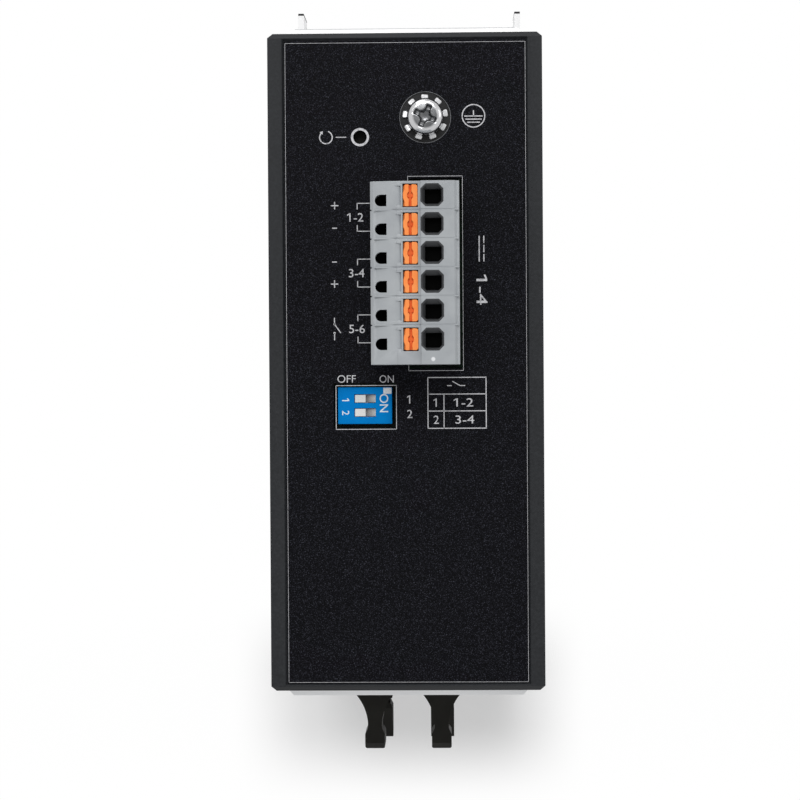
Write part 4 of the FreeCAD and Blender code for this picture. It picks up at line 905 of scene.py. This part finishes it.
# ---- release buttons and the plug's small parts -----------------------------------------------------
def release_button(index):
    """Orange actuator: two ribs with a groove between them, and a toe below."""
    low, high = button_boxes[index]
    x0, x1 = low.x - cap_shift, high.x - cap_shift
    y0, y1 = low.y - 0.06, high.y + 0.06
    top = high.z + cap_rise
    mid_x, mid_y = (x0 + x1) / 2, (y0 + y1) / 2
    shape = Shape()
    floor = top - groove_depth
    # the rib on the wire side is straight, the one on the test side swells at the middle
    outer = [(x1 - 0.42, y0), (x1 - 0.28, y0 + 0.12), (x1 - 0.26, mid_y - 1.0), (x1 - 0.04, mid_y - 0.62),
             (x1, mid_y - 0.3), (x1, mid_y + 0.3), (x1 - 0.04, mid_y + 0.62), (x1 - 0.26, mid_y + 1.0),
             (x1 - 0.28, y1 - 0.12), (x1 - 0.42, y1)]
    groove = [(mid_x + 0.26, y1), (mid_x + 0.24, mid_y + 0.7), (mid_x + 0.52, mid_y + 0.3),
              (mid_x + 0.52, mid_y - 0.3), (mid_x + 0.24, mid_y - 0.7), (mid_x + 0.26, y0)]
    shape.prism(outer + groove, floor, top)
    inner = [(x0 + 0.3, y1), (x0 + 0.03, y1 - 0.22), (x0, y1 - 0.45), (x0, y0 + 0.45), (x0 + 0.03, y0 + 0.22),
             (x0 + 0.3, y0)]
    groove = [(mid_x - 0.22, y0), (mid_x - 0.2, mid_y - 0.7), (mid_x - 0.5, mid_y - 0.3),
              (mid_x - 0.5, mid_y + 0.3), (mid_x - 0.2, mid_y + 0.7), (mid_x - 0.22, y1)]
    shape.prism(inner + groove, floor, top)
    shape.box(x0 + 0.02, x1 - 0.02, y0 + 0.04, y1 - 0.04, low.z + 1.8, floor + 0.01)
    shape.box(low.x + 0.05, high.x - 0.9, low.y + 0.2, high.y - 0.2, low.z, low.z + 1.85)
    return shape


def button_marks(index):
    """The darker floor of the groove and of the cross at its middle: painted shade down in the groove."""
    low, high = button_boxes[index]
    mid_x = (low.x + high.x) / 2 - cap_shift
    mid_y = (low.y + high.y) / 2
    z = high.z + cap_rise - groove_depth
    shape = Shape()
    shape.box(mid_x - 0.19, mid_x + 0.23, low.y, high.y, z - 0.05, z + 0.3)
    shape.box(mid_x - 0.5, mid_x + 0.52, mid_y - 0.3, mid_y + 0.3, z - 0.05, z + 0.34)
    return shape


def octagon(half, corner, z):
    """A square with cut corners."""
    c = half - corner
    return [(-half, -c, z), (-c, -half, z), (c, -half, z), (half, -c, z),
            (half, c, z), (c, half, z), (-c, half, z), (-half, c, z)]


def funnel_part():
    """One wire entry: eight-sided mouth, sloped sides and a square throat."""
    low, high = span("wire_funnels")
    depth = high.z - low.z
    half = (high.x - low.x) / 2
    shape = Shape()
    outer = [octagon(half - 0.01, 0.88, -0.01), octagon(1.6, 0.3, -depth)]
    throat = []
    for level in (-depth, throat_level):
        corners = octagon(1.44, 0.1, level)
        throat.append([(x * 0.99 + throat_x, y * 0.9 + throat_y, z) for x, y, z in corners])
    mouth = [octagon(half - 0.28, 0.78, -0.05), octagon(half - 0.16, 0.82, 0)]
    shape.rings(outer + throat + mouth + [outer[0]], close=False)
    return shape.mesh("funnel_part")


def pit_part(half_x, half_y, depth, wall=0.03):
    """A thin dark cup, open at the top, that lines a deep hole: painted shade for the depth of the hole."""
    rings = []
    for grow, z in ((wall, -depth - wall), (wall, 0), (0, 0), (0, -depth)):
        x, y = half_x + grow, half_y + grow
        rings.append([(-x, -y, z), (x, -y, z), (x, y, z), (-x, y, z)])
    return Shape().rings(rings).mesh("pit_part")


def well_edges():
    """Thin lips of the housing along the test side of each button's well."""
    shape = Shape()
    for low, high in button_boxes:
        shape.box(high.x - 0.1, high.x + 0.24, low.y - 0.19, high.y + 0.19, high.z - 0.25, high.z + 0.13)
    return shape


def seam_fillings():
    """The walls between the poles, just below the housing's face, so that its seams stay shallow."""
    shape = Shape()
    half = 0.122
    top = plug_high.z
    band_x0 = button_boxes[0][0].x - 0.7
    for y in pole_ys[1:]:
        seam = y - pole_pitch / 2
        shape.box(plug_low.x + 0.15, band_x0, seam - half, seam + half, top - 0.4, top - 0.07)
        shape.box(band_x0, plug_high.x - 0.7, seam - half, seam + half, top - 1.3, top - 0.9)
    return shape


def slot_ramp(way):
    """The sloped floor of a slider beside its knob."""
    low, high = span("dip_slider_%d" % way)
    mid = (low.y + high.y) / 2
    top = dip_high.z - 1.0
    x0, x1 = dip_mid.x - 1.98, dip_mid.x - 0.08
    side = [(x0, top - 0.3), (x1, top - 0.3), (x1, top + 0.04), (x0, top + 0.62)]
    rings = [[(x, mid + y, z) for x, z in side] for y in (-0.69, 0.69)]
    return Shape().rings(rings)


def whiten_tabs(panel):
    """Whiter resin for the two front tabs, which also lifts the shade on their sides, and painted light on
    the bevel along the panel's top: its faces that turn up get the whiter resin.
    """
    panel.data.materials.append(tab_pale)
    top = max(v.co.z for v in panel.data.vertices)
    for polygon in panel.data.polygons:
        # painted light: faces of the top bevel that turn up are made whiter
        bevel = polygon.normal.z > 0.25 and polygon.center.z > top - 2 * MM
        if bevel or polygon.center.y / MM < panel_face_y - 0.2:
            polygon.material_index = 1


def panel_edge():
    """A thin grey strip of painted shade where the front panel's top bevel turns down."""
    low, high = span("front_panel")
    inset = 1.8
    y = panel_face_y
    return Shape().box(low.x + inset, high.x - inset, y + 0.02, y + 0.12, high.z - 1.47, high.z - 1.3)


# ---- switch block markings ------------------------------------------------------------------------
def dip_prints():
    """White marks on the blue switch block."""
    shape = Shape()
    top = dip_high.z
    level = top + INK_HEIGHT
    for way, y in (("1", -0.94), ("2", 1.3)):
        write(shape, way, dip_mid.x + 3.55, dip_mid.y + y, 1.3, level, 90, 1.0, 0.02)
    write(shape, "ON", dip_mid.x - 3.45, dip_mid.y - 0.45, 1.58, level, 90, 1.0, 0.03)
    shape.box(dip_mid.x - 4.85, dip_mid.x - 3.35, dip_mid.y - 3.25, dip_mid.y - 2.15, top, top + 0.02)
    return shape


# ---- finishes of the CAD nodes, plate screws and front lettering ----------------------------------
def dress_nodes():
    """Gives every CAD node its own finish, or else that of its slot."""
    for name, obj in nodes.items():
        finish = own_finish.get(name, finishes[slots[name]])
        if obj.data.materials:
            for i in range(len(obj.data.materials)):
                obj.data.materials[i] = finish
        else:
            obj.data.materials.append(finish)


def plate_screw_part(radius, height, shank, length):
    """Low cheese head with a cross recess and a shank, facing +Z, its top at the origin."""
    arm_reach, arm_half, recess_depth, crown_drop = radius * 0.62, 0.26, 0.5, 0.12
    shape = Shape()
    steps, rows = 48, 14
    rings = []
    for i in range(rows + 1):
        r = radius * i / rows
        ring = []
        for k in range(steps):
            angle = 2 * math.pi * k / steps
            x, y = r * math.cos(angle), r * math.sin(angle)
            depth = 0.0
            for a, b in ((x, y), (y, x)):
                along = max(0.0, 1 - (abs(a) / arm_reach) ** 8)
                depth = max(depth, along / (1 + (abs(b) / arm_half) ** 8))
            ring.append((x, y, -recess_depth * depth - crown_drop * (r / radius) ** 4))
        rings.append(ring)
    rings[0] = [(0, 0, rings[0][0][2])] * steps
    wall = [(x, y, -height) for x, y, z in rings[-1]]
    neck = [(x * shank / radius, y * shank / radius, z) for x, y, z in wall]
    tip = [(x, y, -length) for x, y, z in neck]
    shape.rings(rings + [wall, neck, tip], close=False)
    shape.faces(tip, [tuple(range(steps))])
    return shape.mesh("plate_screw_part")


def end_screws(node, facing, radius=2.4, height=0.95):
    """The screws of an end plate or of the rail clip."""
    low, high = span(node)
    y = low.y if facing < 0 else high.y
    turn = Matrix.Rotation(math.radians(90 if facing < 0 else -90), 4, "X")
    places = []
    for x in sorted({round(low.x + radius, 2), round(high.x - radius, 2)}):
        for z in (low.z + radius, high.z - radius):
            places.append((x, y, z))
    shank_radius, most_turn, seed = 1.4, 1.5, 7 + facing
    part = plate_screw_part(radius, height, shank_radius, high.y - low.y)
    mesh = set_out(node + "_heads", part, places, turn, most_turn, seed, spring_wire)
    return piece(node + "_heads", mesh, "switch_case", "screw_steel", spring_wire, hides=(node,))


def face_text(shape, text, x, y, z, height):
    """Lettering on the front panel, read from the front."""
    place = Matrix.Translation((x, y, z)) @ Matrix.Rotation(math.radians(90), 4, "X")
    return shape.add_mesh(letters(text, height), place @ Matrix.Diagonal((1, 1, 0.3, 1)))


def front_prints():
    """Plain numbers beside the ports, slots and lights, in dark ink on the pale panel."""
    port_gap, slot_gap, light_gap = 2.4, 2.9, 2.6
    port_figure, light_figure, light_height = 2.2, 1.5, 3.0
    shape = Shape()
    y = panel_face_y + 0.01
    for side, first in (("left", 2), ("right", 1)):
        low, high = span("jack_shield_" + side)
        x = low.x - port_gap if (low.x + high.x) < 0 else high.x + port_gap
        row = (high.z - low.z) / 4
        for i in range(4):
            face_text(shape, str(first + 2 * i), x, y, high.z - row * (i + 0.5), port_figure)
        low, high = span("sfp_cage_" + side)
        x = low.x - slot_gap if (low.x + high.x) < 0 else high.x + slot_gap
        face_text(shape, str(first + 8), x, y, (low.z + high.z) / 2, port_figure)
    low, high = span("light_pipes")
    pitch = (high.z - low.z - light_height) / 2
    for i in range(3):
        z = high.z - light_height / 2 - pitch * i
        for x, number in ((low.x - light_gap, 2 * i + 1), (high.x + light_gap, 2 * i + 2)):
            face_text(shape, str(number), x, y, z, light_figure)
    return shape


# ---- build ------------------------------------------------------------------------------------------
dress_nodes()

softened("case_sleeve", 0.22, 3)
whiten_tabs(softened("front_panel", 0.14))
piece("panel_edge", panel_edge(), "switch_case", "panel_pale", edge_grey)
softened("rear_plate", 0.14)
softened("guard_edging", 0.08)
softened("plug_housing", 0.1, 2)
softened("dip_housing", 0.09)
softened("rail_clip_body", 0.3, 3)
softened("rail_latch", 0.3, 3)
for side in ("left", "right"):
    softened("jack_body_" + side, 0.06)
    softened("jack_shield_" + side, 0.05)
    softened("sfp_cage_" + side, 0.05)
for way in (1, 2):
    softened("dip_slider_%d" % way, 0.07)
    # the slot floors carry painted shade that darkens towards the knob
    piece("slider_floor_%d" % way, slot_ramp(way), "dip_knob_%d" % way, "knob_white", slot_painted_shade)

piece("label_prints", label_prints(), "switch_case", "label_black", print_white)
piece("earth_screw_head", earth_screw_piece(), "switch_case", "screw_steel", head_nickel,
      hides=("earth_screw",))
piece("earth_lock_washer", washer_pieces(), "switch_case", "screw_steel", washer_zinc,
      hides=("earth_washer",))
piece("earth_bare_ring", bare_ring(), "switch_case", "case_black", bare_coat)
piece("film_edge", film_edge(), "switch_case", "label_black", edge_print)

for i in range(6):
    body = "release_%d" % (i + 1)
    piece("release_cap_%d" % (i + 1), release_button(i), body, "button_orange", edge=0.1, segments=3,
          hides=("release_button_%d" % (i + 1),))
    # darker orange in the groove is painted shade
    piece("release_groove_%d" % (i + 1), button_marks(i), body, "button_orange", groove_painted_shade)

funnel_low, funnel_high = span("wire_funnels")
funnel_x = (funnel_low.x + funnel_high.x) / 2
funnel_places = [(funnel_x, y, funnel_high.z - 0.01) for y in pole_ys]
no_turn = Matrix.Identity(4)
funnels = set_out("wire_entries", funnel_part(), funnel_places, no_turn, 0.0, 1, funnel_black)
piece("wire_entries", funnels, "terminal_plug", "plastic_black", funnel_black, hides=("wire_funnels",))

lining_level = funnel_high.z - 0.93
pit_places = [(x + throat_x, y + throat_y, lining_level) for x, y, z in funnel_places]
test_x = (button_boxes[0][0].x + button_boxes[0][1].x) / 2 + 5.09
test_places = [(test_x, y + 0.85, plug_high.z - 2.0) for y in pole_ys]
# the cups in the wire entries and test holes are painted shade
for name, cup, cup_places, seed in (
    ("entry_linings", pit_part(1.43, 1.3, 1.5), pit_places, 2),
    ("test_linings", pit_part(0.99, 0.99, 2.2), test_places, 3),
):
    cups = set_out(name, cup, cup_places, no_turn, 0.0, seed, pit_painted_shade)
    piece(name, cups, "terminal_plug", "plastic_black", pit_painted_shade)

piece("well_edges", well_edges(), "terminal_plug", "plug_grey", edge=0.04)
piece("seam_fillings", seam_fillings(), "terminal_plug", "plug_grey")

piece("switch_prints", dip_prints(), "switch_case", "switch_blue", print_bright)
end_screws("front_screws", -1)
end_screws("rear_screws", 1)
end_screws("clip_screws", 1, radius=2.8, height=1.6)
piece("front_prints", front_prints(), "switch_case", "panel_pale", print_dark)


# ---- floor, light and camera --------------------------------------------------------------------------
def reckon(tree, operation, first, second):
    """A sum of two sockets or numbers."""
    node = tree.nodes.new("ShaderNodeMath")
    node.operation = operation
    for socket, value in zip(node.inputs, (first, second)):
        if isinstance(value, bpy.types.NodeSocket):
            tree.links.new(value, socket)
        else:
            socket.default_value = value
    return node.outputs[0]


def white_to_camera(tree, shader_output, surface, painted_white_share):
    """Mixes in plain white for rays that look straight, mirrored or through glass."""
    path = tree.nodes.new("ShaderNodeLightPath")
    glow = tree.nodes.new("ShaderNodeEmission")
    glow.inputs["Color"].default_value = (1, 1, 1, 1)
    glow.inputs["Strength"].default_value = 1.0
    seen = reckon(tree, "MAXIMUM", path.outputs["Is Camera Ray"], path.outputs["Is Glossy Ray"])
    seen = reckon(tree, "MAXIMUM", seen, path.outputs["Is Transmission Ray"])
    mix = tree.nodes.new("ShaderNodeMixShader")
    tree.links.new(reckon(tree, "MULTIPLY", seen, painted_white_share), mix.inputs["Fac"])
    tree.links.new(shader_output, mix.inputs[1])
    tree.links.new(glow.outputs["Emission"], mix.inputs[2])
    tree.links.new(mix.outputs["Shader"], surface)


def make_floor():
    """Pale paper, with plain white mixed in for the camera by place: painted light that whitens the sides and
    front, so the unit's real shadow shows only behind it.
    """
    half, level = 3.0, -0.0002
    # where the painted white starts to cover the paper and where it is fully white, in metres
    shadow_x = 0.0025
    side_start, side_end = 0.022, 0.044
    back_start, back_end = 0.086, 0.107
    front_start, front_end = 0.076, 0.056
    least_shadow = 0.02
    mesh = bpy.data.meshes.new("studio_floor")
    corners = [(-half, -half, level), (half, -half, level), (half, half, level), (-half, half, level)]
    mesh.from_pydata(corners, [], [(0, 1, 2, 3)])
    floor = bpy.data.objects.new("studio_floor", mesh)
    bpy.context.scene.collection.objects.link(floor)
    paper = bpy.data.materials.new("studio_paper")
    paper.use_nodes = True
    tree = paper.node_tree
    shader = tree.nodes["Principled BSDF"]
    shader.inputs["Base Color"].default_value = srgb(252, 252, 252)
    shader.inputs["Roughness"].default_value = 0.9
    shader.inputs["Specular IOR Level"].default_value = 0.1
    where = tree.nodes.new("ShaderNodeTexCoord")
    axes = tree.nodes.new("ShaderNodeSeparateXYZ")
    tree.links.new(where.outputs["Object"], axes.inputs["Vector"])
    across = reckon(tree, "ABSOLUTE", reckon(tree, "SUBTRACT", axes.outputs["X"], shadow_x), 0.0)
    kept = 1.0
    for value, start, end in ((across, side_start, side_end), (axes.outputs["Y"], back_start, back_end),
                              (axes.outputs["Y"], front_start, front_end)):
        fade = tree.nodes.new("ShaderNodeMapRange")
        fade.interpolation_type = "SMOOTHSTEP"
        ends = {"From Min": start, "From Max": end, "To Min": 1.0, "To Max": least_shadow}
        for name, number in ends.items():
            fade.inputs[name].default_value = number
        tree.links.new(value, fade.inputs["Value"])
        kept = reckon(tree, "MULTIPLY", kept, fade.outputs["Result"])
    # painted light: white glow to the camera everywhere but a patch just behind the unit, so the real shadow
    # shows only there
    painted_white_share = reckon(tree, "SUBTRACT", 1.0, kept)
    # seen from below, the paper is clear
    side = tree.nodes.new("ShaderNodeNewGeometry")
    clear = tree.nodes.new("ShaderNodeBsdfTransparent")
    through = tree.nodes.new("ShaderNodeMixShader")
    tree.links.new(side.outputs["Backfacing"], through.inputs["Fac"])
    tree.links.new(clear.outputs["BSDF"], through.inputs[2])
    tree.links.new(through.outputs["Shader"], tree.nodes["Material Output"].inputs["Surface"])
    white_to_camera(tree, shader.outputs["BSDF"], through.inputs[1], painted_white_share)
    mesh.materials.append(paper)


def softbox(name, place, target, size, watts):
    """A square soft lamp at a place, turned to a target."""
    light = bpy.data.lights.new(name, "AREA")
    light.shape = "RECTANGLE"
    light.size = size
    light.size_y = size
    light.energy = watts
    obj = bpy.data.objects.new(name, light)
    obj.location = place
    obj.rotation_euler = (Vector(target) - Vector(place)).to_track_quat("-Z", "Y").to_euler()
    bpy.context.scene.collection.objects.link(obj)


def make_world():
    """Even white light all round, and a white backdrop for the camera."""
    light_level = 0.62
    world = bpy.data.worlds.new("studio")
    world.use_nodes = True
    bpy.context.scene.world = world
    tree = world.node_tree
    back = tree.nodes["Background"]
    back.inputs["Color"].default_value = (1, 1, 1, 1)
    path = tree.nodes.new("ShaderNodeLightPath")
    spread = tree.nodes.new("ShaderNodeMapRange")
    spread.inputs["To Min"].default_value = light_level
    spread.inputs["To Max"].default_value = 1.0
    tree.links.new(path.outputs["Is Camera Ray"], spread.inputs["Value"])
    tree.links.new(spread.outputs["Result"], back.inputs["Strength"])


def make_camera():
    """High above the top face, a little off its middle, with the ports away from the viewer."""
    place = Vector((-7.94, 3.33, 534.7)) * MM
    aim = Vector((1.19, 6.92, 134.7)) * MM
    lean = -0.0062
    view_width, view_distance = 145.8, 400.1
    sight = (aim - place).normalized()
    across = sight.cross(Vector((lean, -1, 0))).normalized()
    upright = across.cross(sight)
    camera = bpy.data.cameras.new("camera")
    camera.sensor_fit = "HORIZONTAL"
    camera.sensor_width = 36
    camera.angle = 2 * math.atan(view_width / 2 / view_distance)
    camera.clip_start = 0.01
    obj = bpy.data.objects.new("camera", camera)
    turn = Matrix((across, upright, -sight)).transposed().to_4x4()
    obj.matrix_world = Matrix.Translation(place) @ turn
    bpy.context.scene.collection.objects.link(obj)
    bpy.context.scene.camera = obj


make_floor()
make_world()
softbox("overhead", (0.05, -0.7, 1.1), (0, 0, 0.1), 0.6, 5.8)
softbox("side", (-0.9, -0.3, 0.7), (0, 0, 0.08), 0.4, 0.7)
softbox("low_front", (0.3, -1.05, 0.45), (0, 0, 0.08), 0.5, 1.0)
make_camera()
bpy.context.scene.view_settings.view_transform = "Standard"
